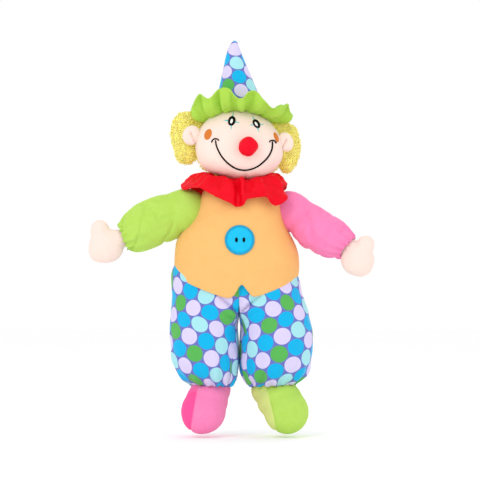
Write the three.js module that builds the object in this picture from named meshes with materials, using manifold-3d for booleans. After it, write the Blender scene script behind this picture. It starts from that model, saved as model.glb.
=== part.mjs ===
// Full-body clown hand puppet: a stuffed clown with a hand opening in the lower back.
// Millimetres, +Z up, the puppet faces -Y, its left side is +X.
// Heights are counted from the soles; the finished group is moved so that the
// middle of the hand opening is the origin.
import * as THREE from 'three';
import Module from 'manifold-3d';
import { mergeVertices } from 'three/addons/utils/BufferGeometryUtils.js';

const wasm = await Module();
wasm.setup();

// ---------------------------------------------------------------- driving dimensions
const GAP = 0.35; // clearance between neighbouring solids
const SOCKET = 0.8; // clearance of a faceted ball that turns in its socket
const SKIN = 2.2; // plush cloth with its pile

// torso
const TORSO_HALF_WIDTH = 70;
const TORSO_DEPTH_RATIO = 0.66; // depth of the torso over its width
const HEM_HEIGHT = 171; // where the torso stands on the trouser seat
const SHOULDER_HEIGHT = 280; // top edge of the vest

// hand space
const PALM_HALF_WIDTH = 38;
const PALM_HALF_DEPTH = 25;
const OPENING_HEIGHT = 197; // middle of the hand opening
const OPENING_HALF_HEIGHT = 19;
const OPENING_HALF_WIDTH = 34;
const BINDING = 4; // width of the bound edge
const FINGER_RADIUS = 10;

// neck and head
const NECK_RADIUS = 17.5;
const NECK_BORE = 12.5;
const NECK_FOOT = 257;
const HEAD_HEIGHT = 330; // middle of the head, where it rocks
const HEAD_RADIUS = 50;
const HEAD_TOP = 43; // crown above the middle of the head
const CHIN_RADIUS = 40.5; // round underside that rocks on the neck
const HEAD_TURN = 9; // degrees towards the puppet's left
const HEAD_ROLL = 3; // degrees, left side down
const NOSE_RADIUS = 11;
const CHEEK_INSET = 12; // the cheeks, in from the side of the head
const MOUTH_INSET = 14; // the corners of the mouth, in from the side of the head
const MOUTH_WIDTH = 1; // of its line
const HAIR_OUTSET = 8; // middle of a tuft of hair, out from the side of the head
const EYE_SPACING = 14;
const HAT_INSET = 19; // the hat's foot, in from the side of the head
const HAT_RADIUS = HEAD_RADIUS - HAT_INSET;
const HAT_LENGTH = 86;
const HAT_TIP_RADIUS = 3.5;
const HAT_LEAN = 6.5; // degrees towards the puppet's right
const RUFFLE_WIDTH = 23;
const RUFFLE_REACH = HAT_RADIUS + RUFFLE_WIDTH;

// arms
const SHOULDER_INSET = 10; // the shoulder pivot, in from the side of the torso
const SHOULDER_SPREAD = TORSO_HALF_WIDTH - SHOULDER_INSET;
const SHOULDER_PIVOT = 254;
const SHOULDER_BALL = 21;
const ARM_LENGTH = 78;
const ARM_RADIUS = 27;
const CUFF_RADIUS = 16.5;
const WRIST_BALL = 12.5;
const HAND_LENGTH = 40;
const HAND_HALF_WIDTH = 20;

// legs
const HIP_SPREAD = 40.5;
const HIP_PIVOT = 128;
const HIP_RADIUS = 34;
const LEG_WIDENING = 1.12; // width of a trouser leg over its depth
const ANKLE_HEIGHT = 55;
const ANKLE_SPREAD = 37;
const ANKLE_RADIUS = 24;
const FOOT_LENGTH = 61;
const FOOT_HALF_WIDTH = 26;
const FOOT_HALF_THICKNESS = 19.5;
const SOLE = 3;
const SOLE_LINE = 0.68; // where the sole is sewn on, as a share of the shoe's half thickness
const ANKLE_PLAY = 3; // how much wider than the ankle the trouser cuff is
const SEAT_OUTSET = 6; // the trouser seat, out from the side of the torso
const SEAT_HALF_WIDTH = TORSO_HALF_WIDTH + SEAT_OUTSET;
const SEAT_DEPTH_RATIO = 0.56;

// trims
const LINING_WALL = 1.4;
const HAND_SKIN = 1.5;
const COLLAR_BAND_RISE = 6;
const COLLAR_BAND_WALL = 3;
const SHOULDER_SLOPE = 19.5; // how far the slope of the shoulders, run in to the axis, ends above them
const COLLAR_REACH = 47;
const COLLAR_DROP = 34;
const BUTTON_HEIGHT = 221.5;
const BUTTON_RADIUS = 17.3;
const BUTTON_THICKNESS = 2.4;
const STITCH_THICKNESS = 1.8;
const STITCH_RADIUS = 2.2;
const STITCH_PLACES = { button_stitch_right: -3, button_stitch_left: 5.5 };
const RUFFLE_FOLDS = 7;
const RUFFLE_LIFT = 6;

// how each limb lies when nothing moves it: [side, drop, forward swing] in degrees
const ARM_REST = { right: [-1, 22, 0], left: [1, 31, 18] };
const FOOT_REST = { right: [-1, 50, 8], left: [1, 50, 14] };

const COLOUR = {
  vest: 0xfcc97f, lining: 0xf4efe2, stuffing: 0xf7f5ef, ruffle: 0xa2d13d, collar: 0xe0082a,
  button: 0x12bdea, thread: 0x1b1b20, dots: 0x5a7fd8, face: 0xfde5d7, pile: 0xf5e36c,
  nose: 0xf0142f, cheek: 0xdf6d1c, white: 0xf8f8f4, lime: 0xb6db55, pink: 0xfb86c2, elastic: 0xe8e6df,
};

// ---------------------------------------------------------------- solids
const puppet = new THREE.Group();
const rad = THREE.MathUtils.degToRad;

// A closed geometry as a manifold solid, its faces pointing out.
function solidOf(geometry) {
  const plain = (geometry.index ? geometry : mergeVertices(geometry)).clone();
  plain.deleteAttribute('normal');
  plain.deleteAttribute('uv');
  const merged = mergeVertices(plain, 1e-4);
  const position = merged.attributes.position;
  const triangles = [];
  for (let i = 0; i < merged.index.count; i += 3) {
    const [a, b, c] = [0, 1, 2].map((k) => merged.index.getX(i + k));
    if (a !== b && b !== c && c !== a) triangles.push(a, b, c);
  }
  const [p, q, r] = [new THREE.Vector3(), new THREE.Vector3(), new THREE.Vector3()];
  let volume = 0;
  for (let i = 0; i < triangles.length; i += 3) {
    p.fromBufferAttribute(position, triangles[i]);
    q.fromBufferAttribute(position, triangles[i + 1]);
    r.fromBufferAttribute(position, triangles[i + 2]);
    volume += p.dot(q.cross(r));
  }
  if (volume < 0) triangles.reverse();
  return new wasm.Manifold(new wasm.Mesh({
    numProp: 3,
    vertProperties: new Float32Array(position.array),
    triVerts: new Uint32Array(triangles),
  }));
}

// The largest separate body of a solid: a cut can leave slivers behind.
function largest(solid) {
  return solid.decompose().sort((a, b) => b.volume() - a.volume())[0];
}

function geometryOf(solid) {
  const mesh = largest(solid).getMesh();
  const geometry = new THREE.BufferGeometry();
  geometry.setAttribute('position', new THREE.BufferAttribute(new Float32Array(mesh.vertProperties), 3));
  geometry.setIndex(new THREE.BufferAttribute(new Uint32Array(mesh.triVerts), 1));
  geometry.computeVertexNormals();
  return geometry;
}

function add(parent, name, solid, colour, roughness = 0.95) {
  const material = new THREE.MeshStandardMaterial({ color: colour, roughness, metalness: 0 });
  const mesh = new THREE.Mesh(geometryOf(solid), material);
  mesh.name = name;
  parent.add(mesh);
  return mesh;
}

// Facets round a shape: the hidden insides of a skin are coarser than its outside.
function facets(inset, fine) {
  return inset > 0 ? Math.round(fine * 0.7) : fine;
}

// A smooth outline through [radius, height] points, moved inwards by inset.
function outline(points, inset = 0, divisions = 9) {
  const curve = new THREE.SplineCurve(points.map(([r, z]) => new THREE.Vector2(r, z)));
  const samples = curve.getPoints(divisions);
  return samples.map((point, i) => {
    const tangent = curve.getTangent(i / divisions);
    const moved = new THREE.Vector2(point.x - inset * tangent.y, point.y + inset * tangent.x);
    const onAxis = i === 0 || i === divisions;
    return new THREE.Vector2(onAxis ? 0 : Math.max(moved.x, 0.2), moved.y);
  });
}

// A body of revolution about Z from an outline that runs upwards from axis to axis.
function turned(points, segments = 20, widen = 1, deepen = 1) {
  const geometry = new THREE.LatheGeometry(points, segments);
  geometry.rotateX(Math.PI / 2);
  geometry.scale(widen, deepen, 1);
  return solidOf(geometry);
}

function ellipsoid(x, y, z, a, b, c, around = 12, up = 8) {
  const geometry = new THREE.SphereGeometry(1, around, up);
  geometry.rotateX(Math.PI / 2);
  geometry.scale(a, b, c);
  geometry.translate(x, y, z);
  return solidOf(geometry);
}

function ball(x, y, z, radius, around = 16, up = 10) {
  return ellipsoid(x, y, z, radius, radius, radius, around, up);
}

function box(x0, x1, y0, y1, z0, z1) {
  const geometry = new THREE.BoxGeometry(x1 - x0, y1 - y0, z1 - z0);
  geometry.translate((x0 + x1) / 2, (y0 + y1) / 2, (z0 + z1) / 2);
  return solidOf(geometry);
}

// A rod between two points.
function rod(start, end, radius, sides = 12) {
  const axis = new THREE.Vector3().subVectors(end, start);
  const geometry = new THREE.CylinderGeometry(radius, radius, axis.length(), sides);
  geometry.translate(0, axis.length() / 2, 0);
  geometry.applyQuaternion(new THREE.Quaternion().setFromUnitVectors(
    new THREE.Vector3(0, 1, 0), axis.clone().normalize()));
  geometry.translate(start.x, start.y, start.z);
  return solidOf(geometry);
}

// A flat ring about Z.
function ring(inner, outer, z0, z1, segments = 16, widen = 1, deepen = 1) {
  const corners = [[inner, z0], [outer, z0], [outer, z1], [inner, z1], [inner, z0]];
  return turned(corners.map(([r, z]) => new THREE.Vector2(r, z)), segments, widen, deepen);
}

const FAR = 400; // longer than anything on the puppet
const FRONT = box(-FAR, FAR, -FAR, -GAP / 2, -FAR, 2 * FAR);
const BACK = box(-FAR, FAR, GAP / 2, FAR, -FAR, 2 * FAR);

// The direction of a limb that drops and swings forward from straight out at the side.
function limbDirection([side, drop, forward]) {
  return new THREE.Vector3(
    side * Math.cos(rad(drop)) * Math.cos(rad(forward)),
    -Math.cos(rad(drop)) * Math.sin(rad(forward)),
    -Math.sin(rad(drop)),
  );
}

// A group whose own +Z runs along a direction and whose +X is turned to the upside.
function limbGroup(origin, direction, upside) {
  const z = direction.clone().normalize();
  const x = upside.clone().addScaledVector(z, -upside.dot(z)).normalize();
  const group = new THREE.Group();
  group.position.copy(origin);
  group.quaternion.setFromRotationMatrix(new THREE.Matrix4().makeBasis(x, z.clone().cross(x), z));
  return group;
}

// ---------------------------------------------------------------- torso
const shoulder = (side) => new THREE.Vector3(side * SHOULDER_SPREAD, 0, SHOULDER_PIVOT);
const hip = (side) => new THREE.Vector3(side * HIP_SPREAD, 0, HIP_PIVOT);

function torso(inset) {
  const w = TORSO_HALF_WIDTH;
  const rise = SHOULDER_HEIGHT - HEM_HEIGHT;
  const points = [
    [0, HEM_HEIGHT - 9], [w * 0.9, HEM_HEIGHT - 6], [w, HEM_HEIGHT + rise * 0.2],
    [w * 0.985, HEM_HEIGHT + rise * 0.4], [w * 0.87, HEM_HEIGHT + rise * 0.64],
    [w * 0.62, HEM_HEIGHT + rise * 0.86], [w * 0.26, SHOULDER_HEIGHT], [0, SHOULDER_HEIGHT + 1],
  ];
  return turned(outline(points, inset, 10), facets(inset, 20), 1, TORSO_DEPTH_RATIO);
}

function handSpace(grow) {
  const points = [
    [0, HEM_HEIGHT + 8], [PALM_HALF_WIDTH * 0.8, HEM_HEIGHT + 9], [PALM_HALF_WIDTH, OPENING_HEIGHT],
    [PALM_HALF_WIDTH * 0.92, OPENING_HEIGHT + 26], [PALM_HALF_WIDTH * 0.6, OPENING_HEIGHT + 46],
    [NECK_BORE, NECK_FOOT - 2], [0, NECK_FOOT],
  ];
  return turned(outline(points, -grow, 7), 14, 1, PALM_HALF_DEPTH / PALM_HALF_WIDTH);
}

// An oval tunnel straight out of the back.
function tunnel(grow) {
  const geometry = new THREE.CylinderGeometry(1, 1, TORSO_HALF_WIDTH, 16);
  geometry.scale(OPENING_HALF_WIDTH + grow, 1, OPENING_HALF_HEIGHT + grow);
  geometry.translate(0, TORSO_HALF_WIDTH / 2, OPENING_HEIGHT);
  return solidOf(geometry);
}

function fingerBore(side, radius) {
  const reach = limbDirection(ARM_REST[side < 0 ? 'right' : 'left']);
  const start = shoulder(side).addScaledVector(reach, -SHOULDER_SPREAD * 0.62);
  return rod(start, shoulder(side), radius, 12);
}

function buildTorso() {
  const hem = box(-FAR, FAR, -FAR, FAR, 0, HEM_HEIGHT);
  const neckHole = rod(new THREE.Vector3(0, 0, NECK_FOOT), new THREE.Vector3(0, 0, HEAD_HEIGHT), NECK_RADIUS + GAP, 16);
  const armholes = [-1, 1].map((side) => ball(...shoulder(side), SHOULDER_BALL + SOCKET));
  const cut = (solid) => armholes.reduce((rest, hole) => rest.subtract(hole), solid).subtract(neckHole);

  const vest = cut(torso(0).subtract(torso(SKIN)).subtract(hem));
  add(puppet, 'vest_front', vest.intersect(FRONT), COLOUR.vest);
  add(puppet, 'vest_back', vest.intersect(BACK).subtract(tunnel(0)), COLOUR.vest);

  const bores = [-1, 1].map((side) => fingerBore(side, FINGER_RADIUS));
  let stuffing = cut(torso(SKIN + GAP)).subtract(box(-FAR, FAR, -FAR, FAR, 0, HEM_HEIGHT + GAP));
  stuffing = stuffing.subtract(handSpace(0)).subtract(tunnel(0));
  stuffing = bores.reduce((rest, bore) => rest.subtract(bore), stuffing);
  stuffing = stuffing.subtract(rod(new THREE.Vector3(0, 0, NECK_FOOT - 14),
    new THREE.Vector3(0, 0, NECK_FOOT + 1), NECK_BORE, 12));
  add(puppet, 'belly_stuffing', stuffing, COLOUR.stuffing);

  let lining = handSpace(-GAP).subtract(handSpace(-GAP - LINING_WALL)).subtract(tunnel(0));
  lining = bores.reduce((rest, bore) => rest.subtract(bore), lining);
  lining = lining.subtract(box(-FAR, FAR, -FAR, FAR, NECK_FOOT - 8, FAR));
  add(puppet, 'hand_lining', lining, COLOUR.lining);

  const binding = torso(-3).subtract(torso(-GAP)).intersect(BACK)
    .intersect(tunnel(BINDING)).subtract(tunnel(0));
  add(puppet, 'opening_binding', binding, COLOUR.vest);
}

function buildCollar() {
  const bandTop = SHOULDER_HEIGHT + COLLAR_BAND_RISE;
  const bandRadius = NECK_RADIUS + COLLAR_BAND_WALL;
  const bandFoot = SHOULDER_HEIGHT + SHOULDER_SLOPE - bandRadius;
  const band = ring(NECK_RADIUS + GAP, bandRadius, bandFoot, bandTop);
  add(puppet, 'collar_band', band.subtract(torso(-GAP)), COLOUR.collar);

  const drape = torso(-5.5).subtract(torso(-0.8))
    .intersect(rod(new THREE.Vector3(0, 0, SHOULDER_HEIGHT - COLLAR_DROP), new THREE.Vector3(0, 0, bandTop), COLLAR_REACH, 24))
    .subtract(rod(new THREE.Vector3(0, 0, 0), new THREE.Vector3(0, 0, FAR), bandRadius + GAP, 16));
  const clear = [-1, 1].map((side) => ball(...shoulder(side), SHOULDER_BALL + 1.5));
  add(puppet, 'collar_ruffle', clear.reduce((rest, hole) => rest.subtract(hole), drape), COLOUR.collar);
}

function buildButton() {
  const face = box(-FAR, FAR, -FAR, 0, 0, FAR);
  const disc = (r, from, to) => torso(-to).subtract(torso(-from)).intersect(face).intersect(
    rod(new THREE.Vector3(1, -FAR, BUTTON_HEIGHT), new THREE.Vector3(1, 0, BUTTON_HEIGHT), r, 20));
  const eye = (x) => rod(new THREE.Vector3(x, -FAR, BUTTON_HEIGHT), new THREE.Vector3(x, 0, BUTTON_HEIGHT), STITCH_RADIUS, 10);
  let button = disc(BUTTON_RADIUS, GAP, BUTTON_THICKNESS);
  for (const x of Object.values(STITCH_PLACES)) button = button.subtract(eye(x));
  add(puppet, 'button', button, COLOUR.button, 0.6);
  for (const [name, x] of Object.entries(STITCH_PLACES)) {
    const stitch = disc(BUTTON_RADIUS, GAP, STITCH_THICKNESS).intersect(rod(
      new THREE.Vector3(x, -FAR, BUTTON_HEIGHT), new THREE.Vector3(x, 0, BUTTON_HEIGHT), STITCH_RADIUS - GAP, 10));
    add(puppet, name, stitch, COLOUR.thread);
  }
}

function buildSeat() {
  const top = HEM_HEIGHT - GAP;
  const frontEdge = HIP_PIVOT + HIP_RADIUS + 1;
  const rearEdge = HIP_PIVOT + 15;
  const seat = (inset) => {
    const w = SEAT_HALF_WIDTH - inset;
    const points = [[0, rearEdge + inset], [w * 0.92, rearEdge + inset], [w, rearEdge + 10], [w * 0.97, top], [0, top]];
    return turned(points.map(([r, z]) => new THREE.Vector2(r, z)), 20, 1, SEAT_DEPTH_RATIO);
  };
  const clear = (grow) => [
    box(-FAR, FAR, -FAR, 0, 0, frontEdge + grow),
    ...[-1, 1].map((side) => ellipsoid(side * HIP_SPREAD, 0, HIP_PIVOT,
      (HIP_RADIUS + grow) * LEG_WIDENING, HIP_RADIUS + grow, HIP_RADIUS + grow, 22, 14)),
  ];
  const less = (solid, cutters) => cutters.reduce((rest, cutter) => rest.subtract(cutter), solid);
  add(puppet, 'seat_stuffing', less(seat(SKIN + GAP), clear(0.8)), COLOUR.stuffing);
  add(puppet, 'trouser_seat', less(seat(0).subtract(seat(SKIN)), clear(0.8)), COLOUR.dots);
}

// ---------------------------------------------------------------- neck and head
function buildNeck() {
  const tube = ring(NECK_BORE, NECK_RADIUS, NECK_FOOT + GAP, HEAD_HEIGHT);
  add(puppet, 'neck_tube', tube.subtract(ball(0, 0, HEAD_HEIGHT, CHIN_RADIUS + SOCKET, 24, 18)), COLOUR.face);
}

// The head in its own frame, centred where it rocks.
function headSolid(inset, segments = facets(inset, 20)) {
  const chin = new THREE.EllipseCurve(0, 0, CHIN_RADIUS - inset, CHIN_RADIUS - inset, -Math.PI / 2, -0.8, false);
  const crown = new THREE.EllipseCurve(0, -2, HEAD_RADIUS - inset, HEAD_TOP + 2 - inset, -0.25, Math.PI / 2, false);
  const points = [...chin.getPoints(4), ...crown.getPoints(facets(inset, 7))];
  points[0].x = 0;
  points[points.length - 1].x = 0;
  return turned(points, segments);
}

function buildHead() {
  const head = new THREE.Group();
  head.position.set(0, 0, HEAD_HEIGHT);
  head.rotation.set(0, rad(HEAD_ROLL), rad(HEAD_TURN), 'ZYX');
  puppet.add(head);

  const bottom = new THREE.Vector3(0, 0, -FAR);
  const finger = rod(bottom, new THREE.Vector3(0, 0, HEAD_TOP * 0.45), NECK_BORE);
  const skin = headSolid(0).subtract(headSolid(SKIN)).subtract(finger);
  add(head, 'face_panel', skin.intersect(FRONT), COLOUR.face);
  add(head, 'head_back', skin.intersect(BACK), COLOUR.pile);
  add(head, 'head_stuffing', headSolid(SKIN + GAP).subtract(finger), COLOUR.stuffing);

  const outside = headSolid(-GAP);
  const onFace = (x, z, a, c, from, to) => {
    const stamp = ellipsoid(x, -HEAD_RADIUS / 2, z, a, HEAD_RADIUS, c, 12, 8);
    return headSolid(-to).subtract(headSolid(-from)).intersect(FRONT).intersect(stamp);
  };
  const underRuffle = buildHat(head);
  for (const [side, word] of [[-1, 'right'], [1, 'left']]) {
    const ear = ellipsoid(side * HEAD_RADIUS, -12, 9, 11, 6, 11.5, 8, 6);
    const hair = ellipsoid(side * (HEAD_RADIUS + HAIR_OUTSET), 8, 7, 21, 26, 31, 12, 8);
    const gap = ellipsoid(side * HEAD_RADIUS, -12, 9, 11 + GAP, 6 + GAP, 11.5 + GAP, 8, 6);
    add(head, `ear_${word}`, ear.subtract(outside), COLOUR.face);
    add(head, `hair_${word}`, hair.subtract(outside).subtract(gap).subtract(underRuffle), COLOUR.pile);
    add(head, `eye_${word}`, onFace(side * EYE_SPACING, 25, 4.6, 6, GAP, 1.4), COLOUR.white, 0.6);
    add(head, `cheek_${word}`, onFace(side * (HEAD_RADIUS - CHEEK_INSET), 9, 5.5, 7, GAP, 1.4), COLOUR.cheek);
  }
  const mouthReach = HEAD_RADIUS - MOUTH_INSET;
  const smile = onFace(0, 6, mouthReach, 34, GAP, 1.2)
    .subtract(ellipsoid(0, -HEAD_RADIUS, 9, mouthReach - MOUTH_WIDTH, HEAD_RADIUS * 2, 34.5, 24, 14))
    .subtract(box(-FAR, FAR, -FAR, FAR, 3, FAR));
  add(head, 'mouth', smile, COLOUR.thread);
  const nose = ball(0, -(HEAD_RADIUS + NOSE_RADIUS * 0.62), -4, NOSE_RADIUS, 14, 9);
  add(head, 'nose', nose.subtract(outside), COLOUR.nose);
}

function hatCone(inset) {
  const tip = Math.max(HAT_TIP_RADIUS - inset, 0.8);
  const radius = HAT_RADIUS - inset;
  const points = [[0, -12], [radius + 3.5, -12], [radius, 0], [tip, HAT_LENGTH - tip - inset * 3], [0, HAT_LENGTH - inset * 3]];
  return turned(points.map(([r, z]) => new THREE.Vector2(r, z)), 16);
}

// Adds the hat and returns the space its ruffle needs, in the head's frame.
function buildHat(head) {
  const hat = new THREE.Group();
  const foot = HEAD_TOP - 9;
  hat.position.set(-2, 0, foot);
  hat.rotation.set(0, rad(-HAT_LEAN), 0);
  head.add(hat);
  const toHat = new THREE.Matrix4().compose(hat.position, hat.quaternion, new THREE.Vector3(1, 1, 1)).invert();
  const crown = headSolid(-GAP).transform(toHat.elements);
  add(hat, 'hat_cone', hatCone(0).subtract(hatCone(SKIN)).subtract(crown), COLOUR.dots);
  add(hat, 'hat_stuffing', hatCone(SKIN + GAP).subtract(crown), COLOUR.stuffing);

  const geometry = new THREE.LatheGeometry([
    [HAT_RADIUS + 0.6, 4], [RUFFLE_REACH, 3], [RUFFLE_REACH, 6.5], [HAT_RADIUS + 0.6, 8], [HAT_RADIUS + 0.6, 4],
  ].map(([r, z]) => new THREE.Vector2(r, z)), 42);
  geometry.rotateX(Math.PI / 2);
  const position = geometry.attributes.position;
  for (let i = 0; i < position.count; i++) {
    const [x, y] = [position.getX(i), position.getY(i)];
    const out = (Math.hypot(x, y) - HAT_RADIUS) / (RUFFLE_REACH - HAT_RADIUS);
    position.setZ(i, position.getZ(i) + out * RUFFLE_LIFT * Math.sin(RUFFLE_FOLDS * Math.atan2(y, x)));
  }
  add(hat, 'hat_ruffle', solidOf(geometry).subtract(hatCone(-GAP)).subtract(crown), COLOUR.ruffle);
  const space = ring(HAT_RADIUS - 10, RUFFLE_REACH + 1, 1 - RUFFLE_LIFT, FAR, 24);
  return space.transform(toHat.clone().invert().elements);
}

// ---------------------------------------------------------------- arms and hands
function buildArm(word) {
  const side = ARM_REST[word][0];
  const colour = word === 'right' ? COLOUR.lime : COLOUR.pink;
  const arm = limbGroup(shoulder(side), limbDirection(ARM_REST[word]), new THREE.Vector3(0, 0, 1));
  puppet.add(arm);

  const socket = (grow) => ball(0, 0, 0, SHOULDER_BALL + grow);
  const wrist = ARM_LENGTH + WRIST_BALL * 0.5;
  const wristSocket = ball(0, 0, wrist, WRIST_BALL + SOCKET, 14, 8);
  const finger = rod(new THREE.Vector3(0, 0, -FAR), new THREE.Vector3(0, 0, ARM_LENGTH * 0.68), FINGER_RADIUS - 1, 12);
  const form = (inset) => turned(outline([
    [0, 10], [10, 12], [ARM_RADIUS * 0.62, ARM_LENGTH * 0.33], [ARM_RADIUS * 0.94, ARM_LENGTH * 0.54],
    [ARM_RADIUS, ARM_LENGTH * 0.66], [ARM_RADIUS * 0.88, ARM_LENGTH * 0.8], [CUFF_RADIUS, ARM_LENGTH * 0.93], [CUFF_RADIUS, ARM_LENGTH], [0, ARM_LENGTH + 0.5],
  ], inset, 9), facets(inset, 14)).subtract(box(-FAR, FAR, -FAR, FAR, ARM_LENGTH - inset * 2, FAR));

  add(arm, `sleeve_head_${word}`, socket(0).subtract(rod(new THREE.Vector3(0, 0, -FAR),
    new THREE.Vector3(0, 0, FAR), FINGER_RADIUS, 12)), colour);
  const cavity = form(SKIN).add(rod(new THREE.Vector3(0, 0, ARM_LENGTH - 6), new THREE.Vector3(0, 0, ARM_LENGTH + 5),
    CUFF_RADIUS - SKIN));
  add(arm, `sleeve_${word}`, form(0).subtract(cavity).subtract(socket(SOCKET)), colour);
  add(arm, `arm_stuffing_${word}`, form(SKIN + GAP).subtract(socket(SOCKET)).subtract(finger).subtract(wristSocket),
    COLOUR.stuffing);
  add(arm, `cuff_elastic_${word}`, ring(CUFF_RADIUS + GAP, CUFF_RADIUS + 1.8, ARM_LENGTH - 4, ARM_LENGTH - 0.5)
    .subtract(form(-GAP)), COLOUR.elastic);
  buildHand(arm, word, wrist);
}

function buildHand(arm, word, wrist) {
  const hand = new THREE.Group();
  hand.position.set(0, 0, wrist);
  hand.rotation.set(0, rad(word === 'right' ? 6 : -14), 0);
  arm.add(hand);
  const reach = HAND_LENGTH / 2;
  const form = (inset) => ball(0, 0, 0, WRIST_BALL - inset, facets(inset, 12), facets(inset, 7))
    .add(ellipsoid(-3, 0, reach - 1, HAND_HALF_WIDTH - inset, 15 - inset, reach - inset,
      facets(inset, 12), facets(inset, 8)))
    .add(ellipsoid(15, -2, reach - 8, 12 - inset, 9 - inset, 8.5 - inset, facets(inset, 8), facets(inset, 5)));
  const open = box(-FAR, FAR, -FAR, FAR, -FAR, -WRIST_BALL * 0.62);
  add(hand, `hand_${word}`, form(0).subtract(form(HAND_SKIN)).subtract(open), COLOUR.face);
  add(hand, `hand_stuffing_${word}`, form(HAND_SKIN + GAP).subtract(open), COLOUR.stuffing);
}

// ---------------------------------------------------------------- legs and shoes
function buildLeg(word) {
  const side = FOOT_REST[word][0];
  const leg = new THREE.Group();
  leg.position.copy(hip(side));
  puppet.add(leg);
  const drop = HIP_PIVOT - ANKLE_HEIGHT;
  const ankleRadius = ANKLE_RADIUS + ANKLE_PLAY;
  const shift = (ANKLE_SPREAD - HIP_SPREAD) * side; // the cuff stands closer in than the hip
  const form = (inset) => {
    const top = new THREE.EllipseCurve(0, 0, HIP_RADIUS - inset, HIP_RADIUS - inset, 0, Math.PI / 2, false).getPoints(4);
    const profile = [
      [0, -drop + inset / 4], [ankleRadius - inset, -drop + inset / 4], [ankleRadius + 2 - inset, -drop + 8],
      [HIP_RADIUS * 0.97 - inset, -drop + 24], [HIP_RADIUS - inset, -drop + 42],
    ].map(([r, z]) => new THREE.Vector2(r, z));
    top[top.length - 1].x = 0;
    const geometry = new THREE.LatheGeometry([...profile, ...top], facets(inset, 16));
    geometry.rotateX(Math.PI / 2);
    geometry.scale(LEG_WIDENING, 1, 1);
    const position = geometry.attributes.position;
    for (let i = 0; i < position.count; i++) {
      const down = Math.max(0, -position.getZ(i)) / drop;
      position.setX(i, position.getX(i) + shift * down);
    }
    return solidOf(geometry);
  };
  const ankle = [shift, 0, -drop - ANKLE_RADIUS / 6];
  const socket = ball(...ankle, ANKLE_RADIUS + SOCKET, 20, 14);
  const mouth = rod(new THREE.Vector3(shift, 0, -drop - 5), new THREE.Vector3(shift, 0, -drop + 5), ankleRadius - SKIN);
  add(leg, `trouser_leg_${word}`, form(0).subtract(form(SKIN)).subtract(mouth).subtract(socket), COLOUR.dots);
  add(leg, `leg_stuffing_${word}`, form(SKIN + GAP).subtract(socket), COLOUR.stuffing);
  const elastic = ring(ankleRadius + 1, ankleRadius + 3.4, -drop + 0.5, -drop + 5, 16, LEG_WIDENING);
  add(leg, `ankle_elastic_${word}`, elastic.translate([shift, 0, 0]).subtract(form(-GAP)), COLOUR.elastic);
  buildShoe(leg, word, new THREE.Vector3(...ankle));
}

function buildShoe(leg, word, ankle) {
  const [side, pitch, splay] = FOOT_REST[word];
  const colour = word === 'right' ? COLOUR.pink : COLOUR.lime;
  const toe = new THREE.Vector3(side * Math.sin(rad(splay)) * Math.cos(rad(pitch)),
    -Math.cos(rad(splay)) * Math.cos(rad(pitch)), -Math.sin(rad(pitch)));
  const shoe = limbGroup(ankle, toe, new THREE.Vector3(0, -1, 0.4));
  leg.add(shoe);
  const half = FOOT_LENGTH / 2;
  const form = (inset) => ball(0, 0, 0, ANKLE_RADIUS - inset, facets(inset, 12), facets(inset, 7))
    .add(ellipsoid(-2, 0, half - 4, FOOT_HALF_THICKNESS - inset, FOOT_HALF_WIDTH - inset, half + 4 - inset,
      facets(inset, 14), facets(inset, 8)));
  const upward = new THREE.Vector3(0, 0, 1).applyQuaternion(shoe.quaternion.clone().invert());
  const open = rod(upward.clone().multiplyScalar(ANKLE_RADIUS * 0.45), upward.clone().multiplyScalar(FAR),
    ANKLE_RADIUS + 4);
  const under = (x) => box(-FAR, x, -FAR, FAR, 2, FAR);
  const soleLine = -FOOT_HALF_THICKNESS * SOLE_LINE;
  add(shoe, `shoe_upper_${word}`, form(0).subtract(form(SKIN)).subtract(open).subtract(under(soleLine)), colour);
  add(shoe, `shoe_sole_${word}`, form(0).intersect(under(soleLine - GAP)).subtract(under(soleLine - SOLE * 3)), colour);
  add(shoe, `shoe_stuffing_${word}`, form(SKIN + GAP).subtract(open).subtract(under(soleLine)), COLOUR.stuffing);
}

buildTorso();
buildCollar();
buildButton();
buildSeat();
buildNeck();
buildHead();
buildArm('right');
buildArm('left');
buildLeg('right');
buildLeg('left');

puppet.position.set(0, -TORSO_HALF_WIDTH * TORSO_DEPTH_RATIO, -OPENING_HEIGHT);
puppet.updateMatrixWorld(true);

export default puppet;
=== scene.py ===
"""Full-body clown hand puppet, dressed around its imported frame.

Every sub-assembly of the puppet is a class that holds its sizes in millimetres, makes its
pieces and dresses them. Sizes are puppet millimetres: x across (positive to the puppet's
left), y in depth (negative to the front, zero in the middle plane) and z above the soles.
"""

import logging
import math
from dataclasses import dataclass
from enum import Enum
from typing import Callable, Iterable, Sequence

import bmesh
import bpy
import numpy as np
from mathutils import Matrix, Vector
from mathutils.bvhtree import BVHTree


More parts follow.
